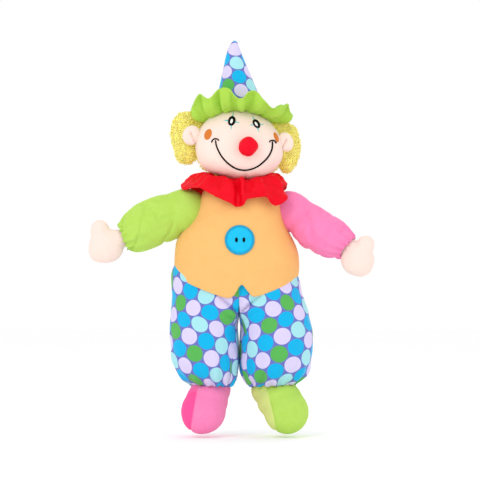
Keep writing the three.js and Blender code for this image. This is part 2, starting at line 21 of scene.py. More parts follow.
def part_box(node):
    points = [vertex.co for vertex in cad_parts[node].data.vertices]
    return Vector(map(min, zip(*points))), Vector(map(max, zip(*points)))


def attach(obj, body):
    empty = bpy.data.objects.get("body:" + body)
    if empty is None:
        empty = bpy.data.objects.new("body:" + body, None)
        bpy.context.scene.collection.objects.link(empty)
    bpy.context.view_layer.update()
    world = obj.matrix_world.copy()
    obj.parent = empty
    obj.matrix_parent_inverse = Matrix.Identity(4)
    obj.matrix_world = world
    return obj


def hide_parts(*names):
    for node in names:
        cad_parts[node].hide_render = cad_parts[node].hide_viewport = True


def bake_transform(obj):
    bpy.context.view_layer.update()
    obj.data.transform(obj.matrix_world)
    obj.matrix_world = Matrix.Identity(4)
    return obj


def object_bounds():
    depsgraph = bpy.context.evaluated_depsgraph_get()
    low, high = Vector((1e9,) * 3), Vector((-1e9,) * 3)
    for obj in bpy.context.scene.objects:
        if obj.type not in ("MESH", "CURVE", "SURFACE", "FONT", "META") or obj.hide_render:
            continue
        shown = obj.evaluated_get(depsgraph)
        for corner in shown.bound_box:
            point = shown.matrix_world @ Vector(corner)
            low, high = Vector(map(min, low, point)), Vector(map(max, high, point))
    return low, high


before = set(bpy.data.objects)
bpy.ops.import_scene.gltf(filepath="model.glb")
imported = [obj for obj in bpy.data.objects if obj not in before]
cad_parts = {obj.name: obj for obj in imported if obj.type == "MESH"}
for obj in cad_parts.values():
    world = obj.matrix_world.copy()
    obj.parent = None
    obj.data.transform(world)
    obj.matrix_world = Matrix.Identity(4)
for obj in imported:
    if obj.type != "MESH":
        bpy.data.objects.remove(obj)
CAD_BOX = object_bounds()

LOG = logging.getLogger("puppet")
MM = 0.001
MIDDLE_Y = sum(corner[1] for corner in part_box("neck_tube")) / 2
SOLE_Z = CAD_BOX[0][2]
SIDES = {"right": -1, "left": 1}
SEWN_WITHIN = 2e-5  # metres: edges that lie closer than this are sewn together

Table = Sequence[tuple[float, float]]
Placing = Callable[[np.ndarray, np.ndarray], tuple[np.ndarray, np.ndarray, np.ndarray]]


class Socket(str, Enum):
    """Names of the shader sockets that the finishes use."""

    COLOUR = "Base Color"
    ROUGHNESS = "Roughness"
    NORMAL = "Normal"


# ------------------------------------------------------------------ numbers and curves
def smooth(table: Table, x: np.ndarray | float) -> np.ndarray:
    """Reads a smooth curve through a few points.

    Args:
        table: The (x, value) points, x rising.
        x: Where to read the curve; past its ends it keeps the end values.

    Returns:
        The curve's values.
    """
    xs, ys = np.array(table, dtype=float).T
    x = np.clip(np.asarray(x, dtype=float), xs[0], xs[-1])
    steps = np.diff(xs)
    rises = np.diff(ys) / steps
    slopes = np.concatenate([[rises[0]], (rises[1:] + rises[:-1]) / 2, [rises[-1]]])
    flat = np.concatenate([[False], rises[1:] * rises[:-1] <= 0, [False]])
    slopes[flat] = 0
    i = np.clip(np.searchsorted(xs, x, side="right") - 1, 0, len(xs) - 2)
    t = (x - xs[i]) / steps[i]
    return (
        ys[i] * (2 * t**3 - 3 * t**2 + 1)
        + ys[i + 1] * (3 * t**2 - 2 * t**3)
        + slopes[i] * steps[i] * (t**3 - 2 * t**2 + t)
        + slopes[i + 1] * steps[i] * (t**3 - t**2)
    )


def around(table: Table, angle: np.ndarray) -> np.ndarray:
    """Reads a smooth closed curve given at angles in degrees from -180 to 180.

    Args:
        table: The (angle, value) points, angles rising and inside one turn.
        angle: The angles to read, in degrees.

    Returns:
        The curve's values.
    """
    before = [(a - 360, value) for a, value in table]
    after = [(a + 360, value) for a, value in table]
    wrapped = (np.asarray(angle) + 180) % 360 - 180
    return smooth([*before, *table, *after], wrapped)


def unevenness(points: np.ndarray, size_mm: float, seed: int) -> np.ndarray:
    """A soft, repeatable unevenness in space.

    Args:
        points: Points in millimetres, one per row.
        size_mm: The rough distance from one bump to the next.
        seed: Chooses the pattern.

    Returns:
        A value from about -1 to 1 for each point.
    """
    rng = np.random.default_rng(seed)
    total = np.zeros(len(points))
    waves = 9
    for _ in range(waves):
        direction = rng.normal(size=3)
        direction /= np.linalg.norm(direction)
        wavelength = size_mm * rng.uniform(0.7, 1.5)
        total += np.sin(points @ direction * math.tau / wavelength + rng.uniform(0, math.tau))
    return total / waves * 1.8


def groove(distance: np.ndarray, width_mm: float) -> np.ndarray:
    """A rounded groove's depth, 1 at its middle, fading over its width."""
    return np.exp(-((distance / width_mm) ** 2))


def creases(points: np.ndarray, size_mm: float, seed: int, sharp: float = 0.16) -> np.ndarray:
    """Thin winding creases in cloth.

    Args:
        points: Points in millimetres, one per row.
        size_mm: The rough distance from one crease to the next.
        seed: Chooses the pattern.
        sharp: How narrow they are, as a share of that distance.

    Returns:
        A depth from 0 to 1 for each point.
    """
    return groove(unevenness(points, size_mm, seed), sharp)


def power(value: np.ndarray, exponent: float | np.ndarray) -> np.ndarray:
    """A signed power, which squares or rounds an oval."""
    return np.sign(value) * np.abs(value) ** exponent


def in_frame(x: np.ndarray, y: np.ndarray, z: np.ndarray) -> np.ndarray:
    """Turns puppet millimetres into the frame's metres, one point per row."""
    return np.stack([x * MM, MIDDLE_Y + y * MM, SOLE_Z + z * MM], axis=-1)


def in_puppet(points: np.ndarray) -> np.ndarray:
    """Turns the frame's metres into puppet millimetres."""
    return (points - np.array([0, MIDDLE_Y, SOLE_Z])) / MM


def spot(x: float, y: float, z: float) -> Vector:
    """One puppet point in the frame."""
    return Vector((x * MM, MIDDLE_Y + y * MM, SOLE_Z + z * MM))


# ------------------------------------------------------------------ meshes
def only(piece: bpy.types.Object) -> None:
    """Selects this piece alone and makes it active."""
    bpy.ops.object.select_all(action="DESELECT")
    piece.select_set(True)
    bpy.context.view_layer.objects.active = piece


def points_of(piece: bpy.types.Object) -> np.ndarray:
    """A piece's vertices, in puppet millimetres."""
    flat = np.empty(len(piece.data.vertices) * 3)
    piece.data.vertices.foreach_get("co", flat)
    return in_puppet(flat.reshape(-1, 3))


def set_points(piece: bpy.types.Object, points: np.ndarray) -> None:
    """Writes a piece's vertices, given in puppet millimetres."""
    placed = in_frame(points[:, 0], points[:, 1], points[:, 2])
    piece.data.vertices.foreach_set("co", placed.ravel())
    piece.data.update()


def apply_modifier(piece: bpy.types.Object, kind: str, **settings: object) -> None:
    """Adds a modifier with its settings and applies it."""
    only(piece)
    modifier = piece.modifiers.new(kind.lower(), kind)
    for name, value in settings.items():
        setattr(modifier, name, value)
    bpy.ops.object.modifier_apply(modifier=modifier.name)


def edit(piece: bpy.types.Object, *operations: Callable[[], object]) -> None:
    """Runs operators in edit mode on the whole piece."""
    only(piece)
    bpy.ops.object.mode_set(mode="EDIT")
    bpy.ops.mesh.select_all(action="SELECT")
    for operation in operations:
        operation()
    bpy.ops.object.mode_set(mode="OBJECT")


def measured(place: Placing, across: int, along: int) -> tuple[np.ndarray, np.ndarray]:
    """Measures a laid cloth along its middle rows and columns.

    Args:
        place: Gives the cloth's points, as in cloth_grid.
        across: Faces across the cloth.
        along: Faces along the cloth.

    Returns:
        How far each column lies across the cloth and each row along it, in millimetres.
    """
    u, v = np.meshgrid(np.linspace(0, 1, across + 1), np.linspace(0, 1, along + 1))
    laid = np.stack(place(u.ravel(), v.ravel()), axis=-1).reshape(along + 1, across + 1, 3)
    rows = np.linalg.norm(np.diff(laid, axis=1), axis=2)[along // 3 : -along // 5].mean(axis=0)
    columns = np.linalg.norm(np.diff(laid, axis=0), axis=2).mean(axis=1)
    return np.concatenate([[0], np.cumsum(rows)]), np.concatenate([[0], np.cumsum(columns)])


def cloth_grid(
    name: str,
    across: int,
    along: int,
    place: Placing,
    size_mm: tuple[float, float] | None = None,
    closed: bool = False,
) -> bpy.types.Object:
    """Cuts a flat grid of cloth and lays it on a shape.

    Args:
        name: The piece's name.
        across: Faces across the cloth.
        along: Faces along the cloth.
        place: Gives x, y, z in puppet millimetres for u and v from 0 to 1.
        size_mm: The cloth's flat size, which its UV map keeps in metres, or None to measure it.
        closed: Whether its edges are sewn together where they meet.

    Returns:
        The piece, with its place in its mesh.
    """
    bpy.ops.object.select_all(action="DESELECT")
    bpy.ops.mesh.primitive_grid_add(x_subdivisions=across, y_subdivisions=along, size=1)
    piece = bpy.context.object
    piece.name = piece.data.name = name
    flat = np.empty(len(piece.data.vertices) * 3)
    piece.data.vertices.foreach_get("co", flat)
    u, v = flat.reshape(-1, 3)[:, 0] + 0.5, flat.reshape(-1, 3)[:, 1] + 0.5
    corners = np.empty(len(piece.data.loops), dtype=int)
    piece.data.loops.foreach_get("vertex_index", corners)
    layer = piece.data.uv_layers.active or piece.data.uv_layers.new(name="cloth")
    if size_mm:
        cut = np.stack([u * size_mm[0], v * size_mm[1]], axis=-1)[corners] * MM
    else:
        far_across, far_along = measured(place, across, along)
        column, row = np.rint(u * across).astype(int), np.rint(v * along).astype(int)
        cut = np.stack([far_across[column], far_along[row]], axis=-1)[corners] * MM
    layer.data.foreach_set("uv", cut.ravel())
    set_points(piece, np.stack(place(u, v), axis=-1))
    if closed:
        edit(piece, lambda: bpy.ops.mesh.remove_doubles(threshold=SEWN_WITHIN),
             lambda: bpy.ops.mesh.normals_make_consistent(inside=False))
    else:
        only(piece)
    bpy.ops.object.shade_smooth()
    return piece


@dataclass(frozen=True)
class Ball:
    """An oval of stuffing, one part of a soft form."""

    middle: tuple[float, float, float]
    radii: tuple[float, float, float]
    along: tuple[float, float, float] = (0, 0, 1)

    def points(self, unit: np.ndarray) -> np.ndarray:
        """Places the points of a unit ball on the oval, whose third radius lies along its direction."""
        z = np.array(self.along) / np.linalg.norm(self.along)
        y = np.cross(z, (1.0, 0.0, 0.0))
        y /= np.linalg.norm(y)
        return np.array(self.middle) + (unit * np.array(self.radii)) @ np.stack([np.cross(y, z), y, z])


def turn_cut(
    piece: bpy.types.Object, degrees: float, shift_mm: tuple[float, float], mirror: bool = False
) -> None:
    """Turns and shifts how a piece was cut out of printed cloth.

    Args:
        piece: The piece.
        degrees: How far the print is turned on it.
        shift_mm: How far it is shifted.
        mirror: Whether the cloth was laid the other way round.
    """
    layer = piece.data.uv_layers.active.data
    flat = np.empty(len(layer) * 2)
    layer.foreach_get("uv", flat)
    x, y = (flat.reshape(-1, 2) * np.array([-1 if mirror else 1, 1])).T
    turn = math.radians(degrees)
    x, y = x * math.cos(turn) - y * math.sin(turn), x * math.sin(turn) + y * math.cos(turn)
    layer.foreach_set("uv", (np.stack([x, y], axis=-1) + np.array(shift_mm) * MM).ravel())


def mark_nap(piece: bpy.types.Object, amount: Callable[[np.ndarray], np.ndarray]) -> None:
    """Marks where a velour's nap lies the other way, which makes it look darker.

    Args:
        piece: The piece.
        amount: Gives 0 to 1 for points in puppet millimetres.
    """
    layer = piece.data.attributes.new("nap", "FLOAT", "POINT")
    layer.data.foreach_set("value", amount(points_of(piece)).astype(np.float32))


def merged_balls(name: str, balls: Iterable[Ball], voxel_mm: float, rounds: int) -> bpy.types.Object:
    """Joins stuffed ovals into one soft form by remeshing them.

    Args:
        name: The piece's name.
        balls: The ovals.
        voxel_mm: The remesh size.
        rounds: How often the joined form is smoothed.

    Returns:
        The closed form.
    """
    made = []
    for ball in balls:
        bpy.ops.object.select_all(action="DESELECT")
        bpy.ops.mesh.primitive_uv_sphere_add(segments=40, ring_count=24, radius=1)
        oval = bpy.context.object
        flat = np.empty(len(oval.data.vertices) * 3)
        oval.data.vertices.foreach_get("co", flat)
        set_points(oval, ball.points(flat.reshape(-1, 3)))
        made.append(oval)
    bpy.ops.object.select_all(action="DESELECT")
    for oval in made:
        oval.select_set(True)
    bpy.context.view_layer.objects.active = made[0]
    bpy.ops.object.join()
    piece = made[0]
    piece.name = piece.data.name = name
    apply_modifier(piece, "REMESH", mode="VOXEL", voxel_size=voxel_mm * MM)
    apply_modifier(piece, "SMOOTH", factor=0.6, iterations=rounds)
    only(piece)
    bpy.ops.object.shade_smooth()
    return piece


def relief(piece: bpy.types.Object, height: Callable[[np.ndarray], np.ndarray]) -> None:
    """Moves a piece's surface out or in along its normals.

    Args:
        piece: The piece.
        height: Gives the move in millimetres for points in puppet millimetres.
    """
    normals = np.empty(len(piece.data.vertices) * 3)
    piece.data.vertex_normals.foreach_get("vector", normals)
    points = points_of(piece)
    set_points(piece, points + normals.reshape(-1, 3) * height(points)[:, None])


def subdivide(piece: bpy.types.Object, levels: int = 1) -> None:
    """Refines a piece with an applied subdivision surface."""
    apply_modifier(piece, "SUBSURF", levels=levels, render_levels=levels)


def stuff(piece: bpy.types.Object, sewn: np.ndarray, cap_mm: float, pressure: float = 4.0) -> None:
    """Fills a cloth form with stuffing by cloth simulation.

    Args:
        piece: The form, still coarse.
        sewn: Which vertices are held by a seam.
        cap_mm: How far a point may move.
        pressure: The stuffing's pressure.
    """
    start = points_of(piece)
    held = piece.vertex_groups.new(name="sewn")
    held.add([int(i) for i in np.flatnonzero(sewn)], 1.0, "REPLACE")
    cloth = piece.modifiers.new("cloth", "CLOTH")
    cloth.settings.vertex_group_mass = "sewn"
    cloth.settings.use_pressure = True
    cloth.settings.uniform_pressure_force = pressure
    cloth.settings.effector_weights.gravity = 0
    cloth.settings.quality = 4
    frames = 20
    for number in range(1, frames + 1):
        bpy.context.scene.frame_set(number)
    only(piece)
    bpy.ops.object.modifier_apply(modifier=cloth.name)
    bpy.context.scene.frame_set(1)
    moved = points_of(piece) - start
    length = np.linalg.norm(moved, axis=1)[:, None]
    set_points(piece, start + moved * np.minimum(1, cap_mm / np.maximum(length, 1e-9)))
    piece.vertex_groups.clear()


class Skin:
    """The outside of a finished piece, on which trims are sewn."""

    far_mm = 200  # points are laid from here, well outside the puppet
    near_mm = 30  # past the piece's edge, the nearest skin is looked for from here

    def __init__(self, piece: bpy.types.Object) -> None:
        """Reads the piece's faces."""
        self.tree = BVHTree.FromPolygons(
            [v.co.copy() for v in piece.data.vertices], [tuple(p.vertices) for p in piece.data.polygons])

    def lay(self, x: np.ndarray, z: np.ndarray, height: np.ndarray, behind: bool = False) -> np.ndarray:
        """Lays points on the skin as seen from the front or from behind.

        Args:
            x: Across, in puppet millimetres.
            z: Above the soles.
            height: How far each point stands off the skin.
            behind: Whether they are laid on the back.

        Returns:
            The points, in puppet millimetres, one per row.
        """
        side = 1 if behind else -1
        laid = []
        for px, pz, ph in zip(x, z, height):
            origin = spot(px, side * self.far_mm, pz)
            hit, normal, _, _ = self.tree.ray_cast(origin, Vector((0, -side, 0)))
            if hit is None:
                hit, normal, _, _ = self.tree.find_nearest(spot(px, side * self.near_mm, pz))
            if normal.y * side < 0:
                normal = -normal
            laid.append(hit + normal * float(ph) * MM)
        return in_puppet(np.array(laid))


def stitched_line(name: str, skin: Skin, route: Sequence[tuple[float, float]], width_mm: float,
                  height_mm: float, taper: float = 0.15) -> bpy.types.Object:
    """Embroiders a raised line on a skin.

    Args:
        name: The piece's name.
        skin: What it is sewn on.
        route: The line's points as x and z, in puppet millimetres.
        width_mm: The line's width.
        height_mm: How far it stands proud.
        taper: The share of its length over which each end narrows.

    Returns:
        The closed raised line.
    """
    path = np.array(route, dtype=float)
    lengths = np.concatenate([[0], np.cumsum(np.linalg.norm(np.diff(path, axis=0), axis=1))])
    total = lengths[-1]
    steps = max(12, int(total / 1.2))

    def place(u: np.ndarray, v: np.ndarray) -> tuple[np.ndarray, ...]:
        at = u * total
        xs, zs = (list(zip(lengths, path[:, axis])) for axis in (0, 1))
        x, z = smooth(xs, at), smooth(zs, at)
        dx = smooth(xs, at + 0.5) - smooth(xs, at - 0.5)
        dz = smooth(zs, at + 0.5) - smooth(zs, at - 0.5)
        norm = np.maximum(np.hypot(dx, dz), 1e-6)
        narrow = np.clip(np.minimum(u, 1 - u) / max(taper, 1e-9), 0.02 if taper else 1, 1) ** 0.6
        aside = np.cos(v * math.tau) * width_mm / 2 * narrow
        up = np.where(np.sin(v * math.tau) > 0, height_mm * narrow, 0.3) * np.sin(v * math.tau)
        laid = skin.lay(x - dz / norm * aside, z + dx / norm * aside, up)
        return laid[:, 0], laid[:, 1], laid[:, 2]

    return cloth_grid(name, steps, 10, place, (total, width_mm * 3), closed=True)


def patch(name: str, skin: Skin, middle: tuple[float, float], half: tuple[float, float], tilt: float,
          height_mm: float, behind: bool = False) -> bpy.types.Object:
    """Sews a raised oval patch on a skin.

    Args:
        name: The piece's name.
        skin: What it is sewn on.
        middle: The oval's middle as x and z.
        half: Its half width and half height.
        tilt: How far its top leans to the puppet's left, in degrees.
        height_mm: How far it stands proud.
        behind: Whether it is sewn on the back.

    Returns:
        The closed patch.
    """
    lean = math.radians(tilt)

    def place(u: np.ndarray, v: np.ndarray) -> tuple[np.ndarray, ...]:
        out = 1 - np.abs(2 * v - 1)
        a, b = np.cos(u * math.tau) * half[0] * out, np.sin(u * math.tau) * half[1] * out
        top = height_mm * np.clip(1 - out**4, 0, 1) ** 0.5
        up = np.where(v > 0.5, top, -0.4)
        laid = skin.lay(middle[0] + a * math.cos(lean) + b * math.sin(lean),
                        middle[1] + b * math.cos(lean) - a * math.sin(lean), up, behind)
        return laid[:, 0], laid[:, 1], laid[:, 2]

    return cloth_grid(name, 32, 20, place, (math.tau * half[0], 4 * half[1]), closed=True)


# ------------------------------------------------------------------ finishes
def linear(hex_colour: str) -> tuple[float, float, float, float]:
    """Turns an sRGB hex colour into linear light."""
    channels = [int(hex_colour[i : i + 2], 16) / 255 for i in (1, 3, 5)]
    turned = [c / 12.92 if c <= 0.04045 else ((c + 0.055) / 1.055) ** 2.4 for c in channels]
    return (*turned, 1.0)


def add_node(
    tree: bpy.types.NodeTree, kind: str, inputs: dict | None = None, **settings: object
) -> bpy.types.Node:
    """Adds a shader node with its settings and links.

    Args:
        tree: The material's node tree.
        kind: The node's type.
        inputs: Values or other nodes' sockets, by socket name or number.
        **settings: The node's own properties.

    Returns:
        The node.
    """
    node = tree.nodes.new(kind)
    for name, value in settings.items():
        setattr(node, name, value)
    for socket, value in (inputs or {}).items():
        if isinstance(value, bpy.types.NodeSocket):
            tree.links.new(value, node.inputs[socket])
        else:
            node.inputs[socket].default_value = value
    return node


def new_material(name: str) -> tuple[bpy.types.Material, bpy.types.NodeTree, bpy.types.Node]:
    """An empty node material with its shader joined to its output."""
    material = bpy.data.materials.new(name)
    material.use_nodes = True
    tree = material.node_tree
    tree.nodes.clear()
    shader = add_node(tree, "ShaderNodeBsdfPrincipled")
    add_node(tree, "ShaderNodeOutputMaterial", {"Surface": shader.outputs["BSDF"]})
    return material, tree, shader


def per_metre(size_mm: float) -> float:
    """A noise scale whose features are this size."""
    return 1 / (size_mm * MM)


@dataclass(frozen=True)
class Velour:
    """Knitted velour: a short cut pile that shades where it is brushed and glows at its edges."""

    name: str
    colour: str
    shade: str
    glow: str
    against: str = "#808080"
    pile_mm: float = 1.1  # coarser than real pile, so that it shows
    brushed_mm: float = 14.0
    contrast: float = 0.5
    sheen: float = 0.35
    roughness: float = 0.88
    gloss: float = 0.25

    def material(self) -> bpy.types.Material:
        """Makes the finish."""
        material, tree, shader = new_material(self.name)
        where = add_node(tree, "ShaderNodeTexCoord").outputs["Object"]
        brushed = add_node(tree, "ShaderNodeTexNoise", {
            "Vector": where, "Scale": per_metre(self.brushed_mm), "Detail": 4.0, "Roughness": 0.65,
            "Distortion": 0.6}).outputs["Fac"]
        fibres = add_node(tree, "ShaderNodeTexNoise", {
            "Vector": where, "Scale": per_metre(self.pile_mm), "Detail": 3.0,
            "Roughness": 0.7}).outputs["Fac"]
        both = add_node(tree, "ShaderNodeMath", {0: brushed, 1: fibres}, operation="ADD").outputs[0]
        reach = 0.22 / self.contrast
        spread = add_node(tree, "ShaderNodeMapRange", {
            "Value": both, "From Min": 1 - reach, "From Max": 1 + reach}).outputs[0]
        colour = add_node(tree, "ShaderNodeMix", {
            "Factor": spread, "A": linear(self.shade), "B": linear(self.colour)},
            data_type="RGBA").outputs["Result"]
        nap = add_node(tree, "ShaderNodeAttribute", attribute_name="nap").outputs["Fac"]
        laid = add_node(tree, "ShaderNodeMix", {"Factor": nap, "A": colour, "B": linear(self.against)},
                        data_type="RGBA").outputs["Result"]
        tree.links.new(laid, shader.inputs[Socket.COLOUR])
        bump = add_node(tree, "ShaderNodeBump", {"Height": fibres, "Strength": 0.35, "Distance": 0.5 * MM})
        tree.links.new(bump.outputs["Normal"], shader.inputs[Socket.NORMAL])
        shader.inputs[Socket.ROUGHNESS].default_value = self.roughness
        shader.inputs["Sheen Weight"].default_value = self.sheen
        shader.inputs["Sheen Roughness"].default_value = 0.45
        shader.inputs["Sheen Tint"].default_value = linear(self.glow)
        shader.inputs["Specular IOR Level"].default_value = self.gloss
        return material


@dataclass(frozen=True)
class DotPrint:
    """Smooth brushed polyester printed with big dots, packed like a honeycomb, which follow the cloth."""

    name: str = "dot_print"
    ground: str = "#6a72c4"
    blue: str = "#00b4ea"
    lilac: str = "#d9d0f4"
    green: str = "#58b455"
    aqua: str = "#a5e2ea"
    dot_mm: float = 19.0
    pitch_mm: float = 20.3

    def dots(self, tree: bpy.types.NodeTree, x: bpy.types.NodeSocket, y: bpy.types.NodeSocket,
             odd: bool) -> tuple[bpy.types.NodeSocket, bpy.types.NodeSocket]:
        """Prints every second column of dots.

        Args:
            tree: The material's node tree.
            x: Across the cloth, in millimetres.
            y: Along it.
            odd: Whether these are the columns that lie half a step lower.

        Returns:
            The dots' colour and where they are.
        """
        half = 0.5 if odd else 0.0
        pair = 2 * self.pitch_mm * math.cos(math.radians(30))
        # each step is a result, its operation and what it works on: a number or an earlier result
        steps = (
            ("columns", "DIVIDE", "x", pair), ("across", "SUBTRACT", "columns", half),
            ("rows", "DIVIDE", "y", -self.pitch_mm), ("down", "SUBTRACT", "rows", half),
            ("column", "ROUND", "across", 0.0), ("row", "ROUND", "down", 0.0),
            ("part_x", "SUBTRACT", "across", "column"), ("off_x", "MULTIPLY", "part_x", pair),
            ("part_y", "SUBTRACT", "down", "row"), ("off_y", "MULTIPLY", "part_y", self.pitch_mm),
            ("square_x", "MULTIPLY", "off_x", "off_x"), ("square_y", "MULTIPLY", "off_y", "off_y"),
            ("square", "ADD", "square_x", "square_y"), ("away", "SQRT", "square", 0.0),
            ("counted_row", "SUBTRACT", "row", 2 * half), ("kind", "FLOORED_MODULO", "counted_row", 3.0),
            ("counted_column", "ADD", "column", 2 * half),
            ("greens", "FLOORED_MODULO", "counted_column", 2.0),
            ("blues", "GREATER_THAN", "kind", 0.5), ("lilacs", "GREATER_THAN", "kind", 1.5),
        )
        made = {"x": x, "y": y}
        for name, operation, a, b in steps:
            values = {0: made.get(a, a), 1: made.get(b, b)}
            made[name] = add_node(tree, "ShaderNodeMath", values, operation=operation).outputs[0]
        inside = add_node(tree, "ShaderNodeMapRange", {
            "Value": made["away"], "From Min": self.dot_mm / 2 + 0.2,
            "From Max": self.dot_mm / 2 - 0.2}).outputs[0]
        colour = linear(self.aqua)
        for where, other in (("greens", self.green), ("blues", self.blue), ("lilacs", self.lilac)):
            colour = add_node(tree, "ShaderNodeMix", {
                "Factor": made[where], "A": colour, "B": linear(other)},
                data_type="RGBA").outputs["Result"]
        return colour, inside

    def material(self) -> bpy.types.Material:
        """Makes the finish."""
        material, tree, shader = new_material(self.name)
        cloth = add_node(tree, "ShaderNodeUVMap").outputs["UV"]
        flat = add_node(tree, "ShaderNodeMapping", {"Vector": cloth, "Scale": (1 / MM, 1 / MM, 1)}).outputs[0]
        parts = add_node(tree, "ShaderNodeSeparateXYZ", {0: flat}).outputs
        printed = linear(self.ground)
        for odd in (False, True):
            colour, inside = self.dots(tree, parts["X"], parts["Y"], odd)
            printed = add_node(tree, "ShaderNodeMix", {"Factor": inside, "A": printed, "B": colour},
                               data_type="RGBA").outputs["Result"]
        where = add_node(tree, "ShaderNodeTexCoord").outputs["Object"]
        nap = add_node(tree, "ShaderNodeTexNoise", {
            "Vector": where, "Scale": per_metre(1.3), "Detail": 3.0, "Roughness": 0.7}).outputs["Fac"]
        fade = add_node(tree, "ShaderNodeMapRange", {
            "Value": nap, "From Min": 0.3, "From Max": 0.7, "To Min": 0.92, "To Max": 1.03}).outputs[0]
        shown = add_node(tree, "ShaderNodeHueSaturation", {"Color": printed, "Value": fade}).outputs[0]
        tree.links.new(shown, shader.inputs[Socket.COLOUR])
        bump = add_node(tree, "ShaderNodeBump", {"Height": nap, "Strength": 0.2, "Distance": 0.4 * MM})
        tree.links.new(bump.outputs["Normal"], shader.inputs[Socket.NORMAL])
        shader.inputs[Socket.ROUGHNESS].default_value = 0.55
        shader.inputs["Sheen Weight"].default_value = 0.1
        shader.inputs["Specular IOR Level"].default_value = 0.15
        return material


@dataclass(frozen=True)
class CurlyPile:
    """Long yarn pile: soft curls, deeper in colour at their roots, with a faint painted glow that keeps its
    hollows light.
    """

    name: str = "yellow_curly_pile"
    tip: str = "#fffa92"
    root: str = "#fdee74"
    clump_mm: float = 5.0

    def material(self) -> bpy.types.Material:
        """Makes the finish."""
        material, tree, shader = new_material(self.name)
        where = add_node(tree, "ShaderNodeTexCoord").outputs["Object"]
        clumps = add_node(tree, "ShaderNodeTexNoise", {
            "Vector": where, "Scale": per_metre(self.clump_mm), "Detail": 5.0,
            "Roughness": 0.7}).outputs["Fac"]
        spread = add_node(tree, "ShaderNodeMapRange", {
            "Value": clumps, "From Min": 0.3, "From Max": 0.62}).outputs[0]
        colour = add_node(tree, "ShaderNodeMix", {
            "Factor": spread, "A": linear(self.root), "B": linear(self.tip)},
            data_type="RGBA").outputs["Result"]
        tree.links.new(colour, shader.inputs[Socket.COLOUR])
        bump = add_node(tree, "ShaderNodeBump", {"Height": clumps, "Strength": 0.3, "Distance": 0.6 * MM})
        tree.links.new(bump.outputs["Normal"], shader.inputs[Socket.NORMAL])
        shader.inputs[Socket.ROUGHNESS].default_value = 0.8
        shader.inputs["Sheen Weight"].default_value = 0.9
        # painted light: a faint yellow glow is added all over the pile, standing in for light passed on from
        # curl to curl, so its hollows never get dark
        shader.inputs["Emission Color"].default_value = linear("#ffe650")
        shader.inputs["Emission Strength"].default_value = 0.11
        shader.inputs["Sheen Tint"].default_value = linear("#fff6b8")
        shader.inputs["Subsurface Weight"].default_value = 0.3
        shader.inputs["Subsurface Radius"].default_value = (1.0, 0.95, 0.6)
        shader.inputs["Subsurface Scale"].default_value = 2 * MM
        return material


@dataclass(frozen=True)
class SatinStitch:
    """Machine embroidery: rayon threads laid side by side, a little glossy across the threads."""

    name: str
    colour: str
    shade: str
    thread_mm: float = 1.4  # wider than the real thread, so that it shows
    roughness: float = 0.5
    gloss: float = 0.4

    def material(self) -> bpy.types.Material:
        """Makes the finish."""
        material, tree, shader = new_material(self.name)
        where = add_node(tree, "ShaderNodeTexCoord").outputs["Object"]
        # diagonal bands of scale 1 lie tau / 10 / sqrt(3) metres apart
        scale = per_metre(self.thread_mm) * math.tau / 10 / math.sqrt(3)
        threads = add_node(tree, "ShaderNodeTexWave", {
            "Vector": where, "Scale": scale, "Distortion": 1.5, "Detail": 2.0},
            bands_direction="DIAGONAL").outputs["Fac"]
        colour = add_node(tree, "ShaderNodeMix", {
            "Factor": threads, "A": linear(self.shade), "B": linear(self.colour)},
            data_type="RGBA").outputs["Result"]
        tree.links.new(colour, shader.inputs[Socket.COLOUR])
        bump = add_node(tree, "ShaderNodeBump", {"Height": threads, "Strength": 0.4, "Distance": 0.3 * MM})
        tree.links.new(bump.outputs["Normal"], shader.inputs[Socket.NORMAL])
        shader.inputs[Socket.ROUGHNESS].default_value = self.roughness
        shader.inputs["Specular IOR Level"].default_value = self.gloss
        return material


@dataclass(frozen=True)
class Cotton:
    """Plain woven lining: a fine over-and-under weave, matt and slightly creased."""

    name: str
    colour: str
    shade: str
    thread_mm: float = 2.2  # coarser than real, so that the weave shows

    def material(self) -> bpy.types.Material:
        """Makes the finish."""
        material, tree, shader = new_material(self.name)
        where = add_node(tree, "ShaderNodeTexCoord").outputs["Object"]
        # straight bands of scale 1 lie tau / 20 metres apart
        scale = per_metre(self.thread_mm) * math.tau / 20
        weave = [add_node(tree, "ShaderNodeTexWave", {
            "Vector": where, "Scale": scale, "Distortion": 0.4},
            bands_direction=axis).outputs["Fac"] for axis in ("X", "Z")]
        both = add_node(tree, "ShaderNodeMath", {0: weave[0], 1: weave[1]}, operation="MULTIPLY").outputs[0]
        colour = add_node(tree, "ShaderNodeMix", {
            "Factor": both, "A": linear(self.shade), "B": linear(self.colour)},
            data_type="RGBA").outputs["Result"]
        tree.links.new(colour, shader.inputs[Socket.COLOUR])
        bump = add_node(tree, "ShaderNodeBump", {"Height": both, "Strength": 0.3, "Distance": 0.3 * MM})
        tree.links.new(bump.outputs["Normal"], shader.inputs[Socket.NORMAL])
        shader.inputs[Socket.ROUGHNESS].default_value = 0.9
        return material


